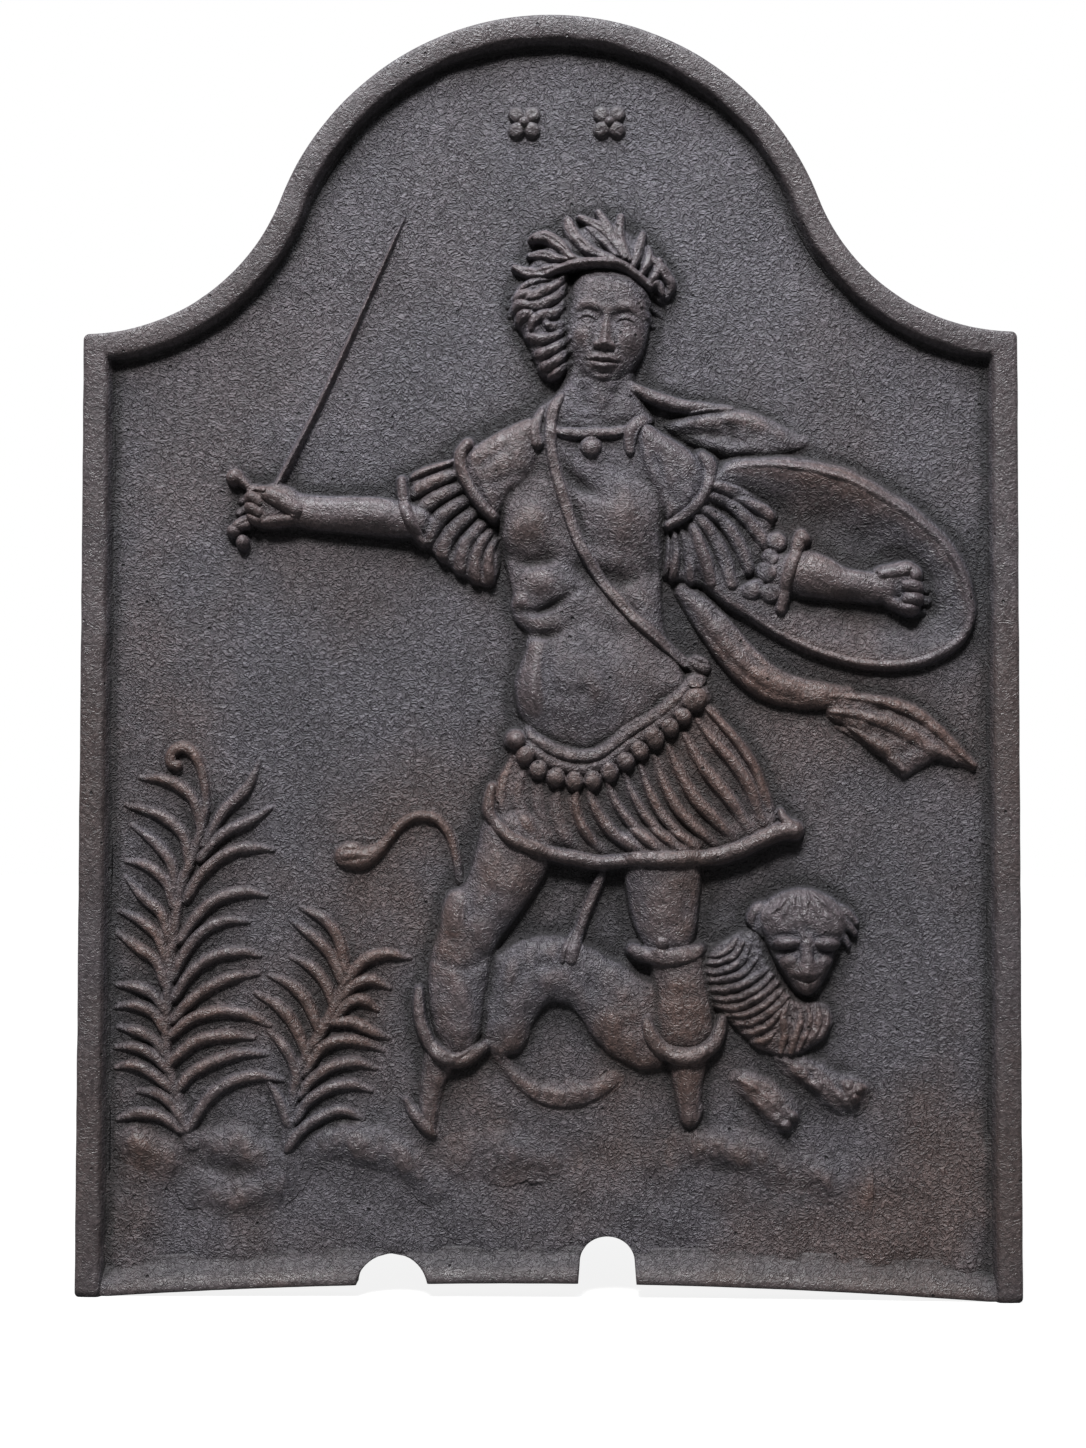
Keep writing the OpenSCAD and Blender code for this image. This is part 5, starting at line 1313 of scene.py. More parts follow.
@relief(HIGH, (50, 372, 94, 428), 0.35, 0.9)
def left_shoulder_band(form):
    shoulder_band(form, [
        (77, 419, 2.2, 2.2), (80.4, 414.4, 3.7, 3.8), (80.6, 409, 3.4, 3.6), (79, 402, 2.7, 3.4),
        (75, 395.4, 2.8, 3.6), (68.6, 389.4, 2.8, 3.6), (60.4, 384.6, 2.2, 2.6)], 86)


@relief(HIGH, (-8, 412, 52, 444), 0.3, 0.9)
def collar(form):
    form.line([(2, 432.6, 2, 2), (8, 431.2, 2.7, 3.2), (15, 430.6, 2.9, 3.4), (22, 430.6, 2.9, 3.4),
               (30, 430.8, 2.8, 3.4), (36, 431.8, 2.6, 3.2), (42, 433.4, 1.9, 2)], blend=0.5)
    form.boss(21.4, 424.2, 5.6, 5.4, 4.4, blend=0.4)
    form.fold([(17.6, 427.2, 0.9, -0.5), (21.4, 426.6, 0.9, -0.8), (25.2, 427.2, 0.9, -0.5)])
    form.uneven(0.14, 7, 87)


@relief(HIGH, (-14, 414, 6, 450), 0.3, 0.9)
def right_strap(form):
    form.line([(-3.4, 443.4, 1.8, 2), (-5.4, 438, 2.6, 3), (-6.2, 431.4, 2.8, 3.4), (-5.2, 425.6, 3.2, 3.8)],
              blend=0.4)


@relief(HIGH, (32, 414, 60, 448), 0.3, 0.9)
def left_strap(form):
    form.line([(51, 438, 2.2, 2.2), (46, 436.8, 3.3, 3.4), (42.2, 432.4, 3.6, 3.8), (40.8, 426.6, 3.3, 3.8),
               (41, 421.6, 2.4, 3)], blend=0.4)
    form.folds(0.9, -0.6, [(46.6, 434.4), (43.2, 430), (42.4, 424)])


@relief(HIGH, (-12, 306, 86, 460), 0.35, 0.8)
def baldric(form):
    """The belt over the breast, with a raised edge on each side."""
    places = [(6.4, 450), (3.4, 445), (2, 440), (1.2, 432), (1.8, 422), (4, 411), (7, 400.4), (10.4, 389.6),
              (14.4, 378.6), (19.4, 368.4), (26, 358), (34.2, 347.8), (43.2, 338), (53, 329.6),
              (62, 322), (69, 315.6)]
    form.line([(x, z, 1.8 if k == 0 else 3, 2 if k == 0 else 3.4) for k, (x, z) in enumerate(places)],
              kind="full", blend=0.4)
    form.fold([(x, z, 1.1, -0.5) for x, z in places[1:]])
    form.uneven(0.14, 10, 88)


@relief(HIGH, (60, 298, 92, 328), 0.3, 0.9)
def baldric_knot(form):
    form.boss(75.6, 314.6, 6.6, 5.2, 4.2, -25, blend=0.4)
    form.boss(74.4, 307.4, 5.4, 4.6, 3.8, 15, blend=0.4)
    form.folds(0.8, -1, [(68, 318), (74.6, 311.2), (81.4, 309.4)], [(70, 319), (76, 316), (82, 314.6)],
               [(71, 309), (75.4, 306.4), (79, 303.4)])


# ---- arms, hands and sword ---------------------------------------------------------------

@relief(HIGH, (-148, 366, -56, 416), blend=0.9)
def right_forearm(form):
    form.line([(-137, 396, 8.6, 7.4), (-126, 393, 9, 8.8), (-114, 391.2, 9.4, 9.6),
               (-100, 390.4, 9.8, 10.2), (-86, 389.4, 10.2, 10.6), (-74, 388, 10, 10.6),
               (-66, 387.4, 9.6, 9.8)], on=0)
    form.fold([(-104, 395, 2.4, 0.5), (-92, 398, 2.6, 0.7), (-80, 397.4, 2.6, 0.5)])
    form.swell(-86, 389, 10, 6, 0.7)
    form.folds(3, -0.8, [(-130, 395), (-118, 393), (-106, 390)], [(-96, 385), (-84, 383), (-74, 383)])
    form.uneven(0.22, 12, 91)


@relief(HIGH, (110, 338, 190, 382), blend=0.9)
def left_forearm(form):
    form.line([(117, 361, 12, 8.6), (126, 360.8, 13, 10), (135, 359, 11.8, 10.6), (144, 356, 9.8, 10.4),
               (152, 354.6, 8.7, 10), (161, 353.6, 8.6, 9.6), (170, 353.6, 8.6, 9.2),
               (176, 354, 7.6, 8.4)], on=0)
    form.fold([(152, 360, 2, 0.7), (164, 360.4, 2, 1), (176, 362, 2, 0.8)])
    form.swell(132, 361, 10, 7, 0.8)
    form.folds(2.6, -0.9, [(140, 350), (152, 349), (164, 349)])
    form.uneven(0.2, 12, 92)


@relief(HIGH, (-86, 368, -52, 416), 0.3, 0.9)
def right_cuff(form):
    form.line([(-73.6, 407.4, 2, 2.6), (-73, 401, 2.8, 3.4), (-71.8, 394.6, 3, 3.6), (-69.2, 387, 3, 3.6),
               (-65.4, 380, 2.6, 3), (-62, 376.4, 1.8, 1.8)], on=form.at_least(5), blend=0.4)


@relief(HIGH, (104, 334, 138, 390), 0.3, 0.9)
def left_cuff(form):
    form.line([(126.6, 379.6, 2.4, 2.6), (125.4, 375.6, 3.4, 3.6), (123.6, 370.6, 3.1, 3.6),
               (121, 363.6, 3, 3.6), (118.8, 355.6, 3, 3.6), (117.6, 348, 2.9, 3.4),
               (116.2, 342.6, 2.4, 2.4)], on=form.at_least(5.6), blend=0.4)
    form.boss(127, 377.6, 3.6, 3.4, 4, on=form.at_least(5.6), blend=0.4)


@relief(HIGH, (90, 334, 124, 386), 0.3, 1.6)
def left_cuff_beads(form):
    ground = form.at_least(4.6) - 0.4
    for x, z, wide, tall, turn in ((114.4, 376, 5.4, 4.8, -35), (111, 368.6, 4.4, 4.4, 0),
                                   (109, 361, 5.2, 5.6, 10), (102.6, 352.6, 6.4, 4.8, 30),
                                   (110.6, 350.6, 5, 5, 0)):
        form.boss(x, z, wide, tall, 3.6, turn, on=ground, blend=1.6)
    form.uneven(0.35, 6, 75)


@relief(HIGH, (-168, 366, -64, 550), 0.35, 0.9)
def sword(form):
    """A tapering blade, with its guard and pommel above and below the hand."""
    form.line([(-73, 542, 0.9, 1.6), (-80, 526, 1.3, 2.6), (-92, 499, 1.6, 3.2), (-104, 472, 1.9, 3.7),
               (-116, 446, 2.2, 4.1), (-128, 422, 2.6, 4.6), (-137, 405, 2.9, 5)], kind="keel", blend=0.6)
    form.boss(-158, 409.6, 4.9, 4.6, 6.6)
    form.line([(-156, 409, 3, 5.6), (-151, 404.5, 2.3, 5), (-147, 401, 2, 5)], blend=0.5)
    form.boss(-158.4, 382.4, 4.1, 3.7, 6.4, blend=0.4)
    form.boss(-154, 376.8, 3.7, 4.1, 6.4, 15, blend=0.4)
    form.line([(-157, 384.5, 3, 6), (-151.5, 385.5, 2.8, 6)], blend=0.4)
    form.uneven(0.14, 14, 93)


@relief(HIGH, (-168, 374, -112, 416), 0.3, 0.9)
def right_hand(form):
    """A fist round the grip: the thumb in front, three fingers curled to the left."""
    form.pad([(-152, 402), (-145, 405), (-137, 407), (-127, 403.6), (-122, 396), (-124, 386.6),
              (-132, 383.6), (-142, 383), (-150, 385.6), (-153, 394)], 7.4, 6)
    form.rolls([
        (2.9, [(-145.6, 396.6), (-150, 399.6), (-154.6, 397.4)]),
        (2.8, [(-145.6, 391.4), (-151, 393.8), (-156, 391.8)]),
        (2.6, [(-147, 386.6), (-152, 388.4), (-156.6, 386.4)]),
        (2.3, [(-143, 403), (-147, 404.4), (-150.6, 402.6)]),
    ], 3.8, blend=0.3, sunk=0.4, start=0.9, end=0.8)
    form.line([(-142.4, 401, 3.4, 2.6), (-138, 399.4, 4.2, 3.8), (-132.6, 396.4, 4.4, 4.2),
               (-127, 392.6, 4.2, 3.2)], blend=0.5, on=form.top() - 0.4)
    form.line([(-128, 386.6, 3, 2.2), (-135, 387, 2.8, 2.4), (-142, 385.6, 2.2, 1.8)],
              blend=0.5, on=form.top() - 0.2)


@relief(HIGH, (158, 334, 198, 374), 0.3, 1)
def left_fist(form):
    """A closed fist, its fingers curled to the right."""
    form.pad([(162, 363), (171, 366.4), (182, 367.4), (187, 361), (188, 352), (187, 344), (182, 338.6),
              (175, 340.4), (167, 344.6), (162, 352)], 9.2, 7)
    form.swell(174.4, 349.4, 3.4, 3.2, -3.2)
    ground = form.top() - 0.5
    form.line([(164, 360.4, 3, 1.2), (172, 362, 3.8, 2.4), (179, 363.4, 3.8, 2.8)], blend=1.6, on=ground)
    form.boss(184, 360.4, 4.2, 4.6, 3.8, 10, blend=0.6, on=ground)
    form.lines([
        [(178.6, 354, 2.8, 2.6), (183.6, 353.6, 3.3, 3.8), (188.4, 352.6, 2.8, 2.8)],
        [(178.6, 348, 2.8, 2.6), (184.4, 347.4, 3.3, 4), (189.4, 346.6, 2.8, 2.8)],
        [(177, 342.6, 2.6, 2.4), (182.6, 341.6, 3, 3.6), (187, 341.4, 2.5, 2.4)],
    ], blend=0.5, on=ground)
    form.uneven(0.2, 6, 94)


# ---- head --------------------------------------------------------------------------------

# The middle of the face, its lean in degrees, and its size in millimetres for each unit below.
FACE_X, FACE_Z, FACE_LEAN, FACE_SIZE = 29, 485, -5, 1.12


def on_face(u, v):
    """The place u across and v up the face from its middle, which leans with it."""
    c, s = math.cos(math.radians(FACE_LEAN)), math.sin(math.radians(FACE_LEAN))
    u, v = u * FACE_SIZE, v * FACE_SIZE
    return FACE_X + u * c - v * s, FACE_Z + u * s + v * c


def face_rows(rows):
    """Rows given on the face, with their places turned into the plate's."""
    return [(*on_face(u, v), *sizes) for u, v, *sizes in rows]


def face_fold(form, *rows):
    """A fold whose rows are given on the face."""
    form.fold(face_rows(rows), 8)


def both_folds(form, *rows):
    """The same fold on both sides of the face."""
    for side in (-1, 1):
        face_fold(form, *[(side * u, v, half, amount) for u, v, half, amount in rows])


def both_swells(form, u, v, *sizes, turn=0):
    """The same swelling on both sides of the face."""
    for side in (-1, 1):
        form.swell(*on_face(side * u, v), *sizes, turn=side * turn + FACE_LEAN)


@relief(HIGH, (0, 450, 58, 524), 0.25, 1.2)
def head(form):
    """A plain oval face: eyes at half its height, the nose's base and the mouth below in thirds."""
    half = [(0, 29), (8, 28), (14.5, 23.5), (18.2, 16), (19.7, 7), (19.5, -2), (18.2, -10), (15.3, -17),
            (10.8, -23), (5.6, -26.8)]
    oval = half + [(0, -28)] + [(-u, v) for u, v in half[:0:-1]]
    form.pad(face_rows(oval), 11.6, 15)
    form.swell(*on_face(0, 14), 11, 8, 0.7)
    form.swell(*on_face(0, -24), 5.4, 3.6, 1.7)
    # Sockets and brow.
    both_swells(form, 8.4, 2, 6.4, 4, -2.1, turn=-6)
    both_swells(form, 3.4, 3.6, 2.2, 3, -0.9)
    both_folds(form, (2.4, 6.8, 2.2, 0.7), (7.4, 8.6, 2.4, 1.2), (12, 7.8, 2.2, 0.9), (15.6, 4.8, 2, 0.4))
    # Eyes and lids.
    both_swells(form, 8.5, 1.7, 4.3, 2.9, 2.2, turn=-4)
    both_folds(form, (4.3, 1.5, 0.9, 0.3), (6, 3.2, 1.1, 0.7), (8.6, 3.9, 1.2, 0.8), (11.2, 3, 1.1, 0.6),
               (13, 1.2, 0.9, 0.3))
    both_folds(form, (4.6, 0.8, 0.6, -0.3), (6.4, 2.1, 0.6, -0.6), (8.7, 2.6, 0.6, -0.7),
               (11, 1.9, 0.6, -0.6), (12.6, 0.6, 0.6, -0.3))
    both_folds(form, (5.2, -0.6, 0.9, 0.2), (8.6, -1.8, 1, 0.4), (12, -0.4, 0.9, 0.2))
    both_folds(form, (5, 5.2, 0.8, -0.3), (8.8, 6.2, 0.9, -0.5), (12.8, 4.8, 0.8, -0.3))
    # Nose.
    face_fold(form, (0, 8, 2.1, 0.7), (0, 4, 2.1, 1.5), (0, -1, 2.2, 2.4), (0, -6, 2.5, 3.4),
              (0, -8.8, 2.8, 3.8))
    form.swell(*on_face(0, -8.8), 2.3, 1.9, 0.5)
    both_swells(form, 3.5, -9.4, 1.8, 1.7, 1.6)
    both_swells(form, 1.9, -11.2, 0.9, 0.7, -1)
    both_folds(form, (4.9, -6.6, 0.9, -0.3), (5.6, -9.8, 1, -0.7), (4.4, -11.6, 0.9, -0.5))
    face_fold(form, (-4, -12.2, 1, -0.7), (0, -12, 1, -0.9), (4, -12.2, 1, -0.7))
    # Mouth and chin.
    form.swell(*on_face(0, -16.2), 7.4, 3.6, 1.1)
    both_folds(form, (0, -15.4, 1, 0.5), (2.2, -14.9, 1.1, 0.8), (4.6, -15.5, 1, 0.6),
               (6.8, -16.4, 0.8, 0.2))
    face_fold(form, (-6.8, -16.7, 0.7, -0.7), (-3, -16.6, 0.75, -1.2), (0, -17, 0.75, -1.2),
              (3, -16.6, 0.75, -1.2), (6.8, -16.7, 0.7, -0.7))
    face_fold(form, (-4.8, -18.2, 1.1, 0.5), (0, -19, 1.5, 1.2), (4.8, -18.2, 1.1, 0.5))
    both_swells(form, 7.6, -16.6, 1.1, 1.1, -0.6)
    face_fold(form, (-4, -21.4, 1.2, -0.6), (0, -21.7, 1.4, -1.1), (4, -21.4, 1.2, -0.6))
    # Cheeks, temples and jaw.
    both_swells(form, 11.4, -5, 5, 4.6, 1.2)
    both_swells(form, 12, -14.6, 4.4, 4.6, -0.8)
    both_swells(form, 17, 9, 3.2, 5, -0.9)
    both_folds(form, (6.4, -10.4, 1.1, -0.4), (8.8, -13.8, 1.2, -0.4))


@relief(HIGH, (-30, 446, 72, 522), 0.3, 1.6)
def hair(form):
    """Curls beside the face."""
    form.pad([(10, 513), (2, 512), (-8, 510.6), (-16, 505), (-19, 497), (-17, 487), (-11, 477),
              (-7, 467), (-3, 459), (6, 458), (11, 468), (11, 480), (10, 492), (10, 504)], 6.6, 8)
    ground = form.top() - 1.2
    form.lines([
        [(10, 512.4, 2.2, 3), (4.4, 506.4, 3, 4), (-1, 503.4, 3.2, 4), (-6, 501, 3, 3.8),
         (-11, 500.2, 2, 2.6)],
        [(10, 506.6, 2.2, 3), (5, 500.6, 3, 4), (0, 497.6, 3.2, 4), (-5.6, 495.6, 3, 3.8),
         (-9.6, 495.6, 2.2, 2.8)],
        [(10, 500, 2, 2.8), (6.4, 494.6, 2.8, 3.6), (2, 491.4, 3.2, 3.8), (-3.4, 490.6, 3.2, 3.8),
         (-7.6, 488, 2.6, 3.4), (-8.6, 484, 1.8, 2.6)],
        [(8, 492, 1.8, 2.6), (7.4, 487, 2.6, 3.4), (3.4, 484.6, 2.8, 3.6), (-0.6, 486, 2.4, 3.4),
         (-1.6, 488.6, 1.6, 2.6)],
        [(2, 510.4, 2.4, 3), (-7, 509.4, 3, 3.8), (-13.4, 506.6, 2.8, 3.6), (-19.6, 501.6, 1.8, 2.4)],
        [(-10, 502.2, 2.2, 3), (-16, 500.4, 2.7, 3.6), (-20.4, 496.4, 1.8, 2.4)],
        [(-10.6, 496, 2, 3), (-15.6, 496, 3.2, 3.8), (-19.6, 491.6, 2.2, 2.6)],
        [(-8.6, 491, 2, 3), (-13, 490.4, 3.4, 3.8), (-16.4, 486.4, 2.4, 2.8)],
        [(9, 484, 2, 2.8), (2, 479.6, 2.8, 3.6), (-5, 478.6, 3.2, 3.8), (-10.4, 479.6, 2.6, 2.8)],
        [(10, 478.6, 2, 3), (4, 474.4, 2.9, 3.8), (-2.4, 471.4, 3, 3.6), (-9, 470.6, 1.8, 2.2)],
        [(10.4, 472.6, 2, 3), (5, 468.4, 2.8, 3.6), (0, 465.4, 2.8, 3.4), (-5.4, 463.6, 1.8, 2.2)],
        [(11, 466.4, 1.8, 2.8), (6.4, 463, 2.4, 3.2), (2.6, 460, 2.2, 2.8), (-0.6, 456.8, 1.4, 1.8)],
        [(48, 509.6, 2.3, 3.6), (54, 501.8, 2.8, 3.8), (60, 496.4, 1.9, 2.2)],
        [(47, 503, 2.3, 3.4), (51.4, 496.8, 2.6, 3.4), (56.6, 491.6, 1.8, 2)],
        [(47, 497, 2, 3), (49.8, 490.6, 2.2, 2.8), (52.8, 485.8, 1.5, 1.8)],
    ], blend=0.9, on=ground)
    form.uneven(0.3, 6, 95)
    form.uneven(0.15, 3, 98)


@relief(HIGH, (-28, 486, 72, 554), 0.3, 1.5)
def laurel_wreath(form):
    """Laurel leaves lying out from a band over the brow."""
    form.pad([(-10, 514), (-6, 522), (0, 528), (10, 532), (18, 537), (30, 539), (40, 534), (48, 526),
              (56, 514), (58, 506), (52, 503), (44, 510), (30, 515), (10, 513), (0, 509)], 6.4, 8)
    form.lines([
        [(-3, 511, 2.4, 8), (6, 514.2, 3, 11.2), (13, 516.2, 3.4, 12.6), (21, 516.8, 3.5, 13.4),
         (29, 516.6, 3.5, 13.8)],
        [(29, 516.6, 3.5, 13.8), (37, 515.2, 3.4, 13.4), (43.4, 511, 3.2, 12.2), (51, 505, 2.7, 10)],
    ], blend=1.2, on=0)
    leaves = [
        [(20, 517, 2.6, 11.2), (11, 519.6, 3.4, 10.8), (6.6, 525, 4.2, 9.6), (0.6, 529.6, 4.3, 8.2),
         (-4, 531, 3.8, 7), (-8.6, 530, 2.2, 4.6)],
        [(9, 518.4, 2.6, 10.2), (3.4, 519.4, 3.6, 9.4), (-2.6, 521.4, 3.5, 8), (-9.4, 521.8, 2, 4.6)],
        [(9, 515, 2.6, 10), (1, 514.2, 3.6, 9.2), (-5, 512.2, 3.8, 8), (-11, 513, 3.4, 6.6),
         (-17, 515.6, 2.1, 4.4)],
        [(38, 515.6, 2.6, 12.2), (30, 518.8, 3.8, 11.6), (22, 522.6, 4.6, 10.4), (15.4, 528, 4.8, 9),
         (11.6, 533.4, 4.4, 7.4), (9.6, 539.6, 2.4, 5)],
        [(34, 520, 2.4, 11), (29, 526.4, 3.2, 9.6), (24, 531.6, 3.2, 8.2), (19.6, 535, 1.9, 6)],
        [(38, 518.6, 2.4, 11.4), (32, 527.6, 3.4, 9.6), (25.4, 535.4, 3.6, 8), (15.6, 541, 2, 4.8)],
        [(39, 519, 2.5, 11.2), (34.4, 526.4, 3.5, 9.8), (30, 534.4, 3.8, 8.2), (25, 543.6, 2, 4.8)],
        [(41, 518, 2.5, 11), (37.4, 524.6, 3.8, 10), (35, 531.6, 4.2, 8.4), (36.2, 541, 2.4, 4.8)],
        [(42.4, 514.6, 2.6, 11), (44, 519.6, 3.8, 10), (45.2, 525, 3.8, 8.2), (47.4, 532, 2.2, 5)],
        [(46.6, 511, 2.5, 10.4), (49.6, 516.4, 3.5, 9.2), (50.4, 521, 3.2, 7.4), (50.4, 525.4, 1.8, 4.8)],
        [(51, 506, 2.5, 9.6), (54, 512, 3.6, 8.6), (55.6, 518.4, 2.6, 6.4)],
        [(50.6, 521, 2.1, 6.2), (55.4, 515.6, 3.5, 8), (59, 511, 3.6, 7.6), (61.4, 506.4, 3.2, 6.2),
         (59.6, 500.6, 2, 4.2)],
        [(50, 505.4, 2.4, 9), (55, 506.4, 3.2, 8), (57.4, 501.6, 2.2, 5.8)],
    ]
    form.lines(leaves, blend=0.7, on=0)
    form.folds(1.1, -0.8, [(-1, 512.6), (10, 516.6), (21, 518), (30, 517.6)])
    for leaf in leaves:
        form.folds(0.9, -0.7, [(x, z) for x, z, _, _ in leaf[1:]])
    form.uneven(0.3, 6, 96)


# ---- finishes ----------------------------------------------------------------------------

# Each finish: its grey, its brown, how far it goes brown, and how ridged and gritty its skin is.
FINISHES = {
    PLATE: ((0.081, 0.073, 0.085), (0.090, 0.061, 0.056), 0.9, 1.0, 1.0),
    RIM: ((0.072, 0.063, 0.071), (0.072, 0.053, 0.051), 0.8, 0.45, 0.8),
    LOW: ((0.079, 0.071, 0.083), (0.096, 0.061, 0.054), 1.1, 0.7, 0.9),
    HIGH: ((0.080, 0.072, 0.086), (0.098, 0.068, 0.063), 1.0, 0.7, 0.9),
}
# How deep the sand grain is cut.
GRAIN_DEPTH = 0.9 * MM
# How widely, in millimetres, a place and its near and far surroundings are averaged.
HERE, AROUND, FAR_AROUND = 0.8, 3.5, 12


def new_group(name, inputs, outputs):
    """An empty shader node group with float or colour sockets: (name, type, default)."""
    group = bpy.data.node_groups.new(name, "ShaderNodeTree")
    for socket, kind, value in inputs:
        made = group.interface.new_socket(socket, in_out="INPUT", socket_type="NodeSocket" + kind)
        made.default_value = value
    for socket, kind in outputs:
        group.interface.new_socket(socket, in_out="OUTPUT", socket_type="NodeSocket" + kind)
    return group, group.nodes.new("NodeGroupInput"), group.nodes.new("NodeGroupOutput")


def connect(tree, value, socket):
    """Links an output to a socket, or sets the socket where value is a plain number."""
    if isinstance(value, bpy.types.NodeSocket):
        tree.links.new(value, socket)
    else:
        socket.default_value = value


def set_inputs(node, values):
    """Sets the sockets named in the values, each to its own constant."""
    for socket, value in values.items():
        node.inputs[socket].default_value = value


def maths(tree, operation, a, b=0.0, clamp=False):
    node = tree.nodes.new("ShaderNodeMath")
    node.operation = operation
    node.use_clamp = clamp
    connect(tree, a, node.inputs[0])
    connect(tree, b, node.inputs[1])
    return node.outputs[0]


def noise(tree, place, scale, detail, roughness=0.5, distortion=0.0):
    node = tree.nodes.new("ShaderNodeTexNoise")
    tree.links.new(place, node.inputs["Vector"])
    set_inputs(node, {"Scale": scale, "Detail": detail, "Roughness": roughness,
                      "Distortion": distortion})
    return node.outputs["Fac"]


def spread(tree, value, low, high, to_low=0.0, to_high=1.0):
    """Maps a range of values onto another, held at its ends."""
    node = tree.nodes.new("ShaderNodeMapRange")
    node.interpolation_type = "SMOOTHSTEP"
    connect(tree, value, node.inputs["Value"])
    for socket, number in (("From Min", low), ("From Max", high), ("To Min", to_low), ("To Max", to_high)):
        connect(tree, number, node.inputs[socket])
    return node.outputs["Result"]


def mixed(tree, share, a, b):
    """A share of the second colour in the first."""
    node = tree.nodes.new("ShaderNodeMix")
    node.data_type = "RGBA"
    connect(tree, share, node.inputs[0])
    connect(tree, a, node.inputs[6])
    connect(tree, b, node.inputs[7])
    return node.outputs[2]


def sand_grain_group():
    """The skin that the mould's sand leaves: short wavy ridges, fine grit and open pits."""
    group, given, made = new_group("sand_grain", [("Ridges", "Float", 1.0), ("Grit", "Float", 1.0)],
                                   [("Height", "Float"), ("Pits", "Float"), ("Crests", "Float")])
    place = group.nodes.new("ShaderNodeTexCoord").outputs["Object"]
    broad = noise(group, place, 250, detail=1.0, distortion=1.4)
    worms = maths(group, "ABSOLUTE", maths(group, "SUBTRACT", broad, 0.5))
    worms = spread(group, worms, 0.0, 0.12, 1.0, 0.0)
    grit = noise(group, place, 750, detail=3.0, roughness=0.65)
    cells = group.nodes.new("ShaderNodeTexVoronoi")
    group.links.new(place, cells.inputs["Vector"])
    cells.inputs["Scale"].default_value = 110
    pits = spread(group, cells.outputs["Distance"], 0.04, 0.12, 1.0, 0.0)
    pits = maths(group, "MULTIPLY", pits, spread(group, noise(group, place, 60, detail=1.0), 0.52, 0.58))
    ridges = maths(group, "MULTIPLY", worms, given.outputs["Ridges"])
    rough = maths(group, "MULTIPLY", grit, given.outputs["Grit"])
    height = maths(group, "ADD", maths(group, "MULTIPLY", ridges, 0.7), rough)
    height = maths(group, "SUBTRACT", height, maths(group, "MULTIPLY", pits, 1.4))
    group.links.new(height, made.inputs["Height"])
    group.links.new(pits, made.inputs["Pits"])
    group.links.new(ridges, made.inputs["Crests"])
    return group


def iron_tone_group():
    """Colour and roughness of blacked iron: cool grey, browner where it is rubbed, with painted shade in the
    hollows and towards the bottom, and painted highlights on the grain's ridges.
    """
    group, given, made = new_group(
        "iron_tone",
        [("Grey", "Color", (0.1, 0.1, 0.1, 1)), ("Brown", "Color", (0.1, 0.08, 0.07, 1)),
         ("Browning", "Float", 0.3), ("Pits", "Float", 0.0), ("Crests", "Float", 0.0)],
        [("Color", "Color"), ("Roughness", "Float"), ("Rub", "Float")])
    place = group.nodes.new("ShaderNodeTexCoord").outputs["Object"]
    stand = group.nodes.new("ShaderNodeAttribute")
    stand.attribute_name = "stand"
    crest = spread(group, stand.outputs["Fac"], 0.1, 0.9)
    hollow = spread(group, stand.outputs["Fac"], -0.1, -0.9)
    split = group.nodes.new("ShaderNodeSeparateXYZ")
    group.links.new(place, split.inputs[0])
    # Painted shade: the colour darkens towards the bottom, standing in for the light falling off there.
    low_painted_shade = spread(group, split.outputs["Z"], 0.05, 0.55, 0.72, 0.96)
    near_foot = spread(group, split.outputs["Z"], 0.08, 0.6, 1.0, 0.2)
    clouds = noise(group, place, 9, detail=3.0, roughness=0.55)
    specks = noise(group, place, 420, detail=2.0, roughness=0.6)
    rusty = maths(group, "MULTIPLY", spread(group, clouds, 0.4, 0.66), given.outputs["Browning"])
    rusty = maths(group, "MULTIPLY", rusty, near_foot)
    rusty = maths(group, "ADD", rusty, maths(group, "MULTIPLY", crest, 0.36), clamp=True)
    colour = mixed(group, rusty, given.outputs["Grey"], given.outputs["Brown"])
    patches = noise(group, place, 22, detail=3.0, roughness=0.6)
    tone = spread(group, patches, 0.3, 0.7, 0.86, 1.12)
    shades = [
        spread(group, specks, 0.3, 0.72, 0.7, 1.32),
        # Painted highlight: the grain's ridge tops are lighter and the ground between them darker, as light
        # would fall on them.
        spread(group, given.outputs["Crests"], 0.0, 1.0, 0.86, 1.28),
        # Painted shade: darker in the hollows, where shade would fall.
        maths(group, "SUBTRACT", 1.0, maths(group, "MULTIPLY", hollow, 0.7)),
        maths(group, "ADD", 1.0, maths(group, "MULTIPLY", crest, 0.1)),
        maths(group, "SUBTRACT", 1.0, maths(group, "MULTIPLY", given.outputs["Pits"], 0.8)),
        low_painted_shade,
    ]
    for shade in shades:
        tone = maths(group, "MULTIPLY", tone, shade)
    scaled = group.nodes.new("ShaderNodeVectorMath")
    scaled.operation = "SCALE"
    group.links.new(colour, scaled.inputs[0])
    group.links.new(tone, scaled.inputs["Scale"])
    group.links.new(scaled.outputs[0], made.inputs["Color"])
    gloss = spread(group, noise(group, place, 160, detail=2.0), 0.3, 0.7, 0.40, 0.62)
    gloss = maths(group, "SUBTRACT", gloss, maths(group, "MULTIPLY", crest, 0.06))
    gloss = maths(group, "ADD", gloss, maths(group, "MULTIPLY", hollow, 0.2), clamp=True)
    group.links.new(gloss, made.inputs["Roughness"])
    group.links.new(crest, made.inputs["Rub"])
    return group


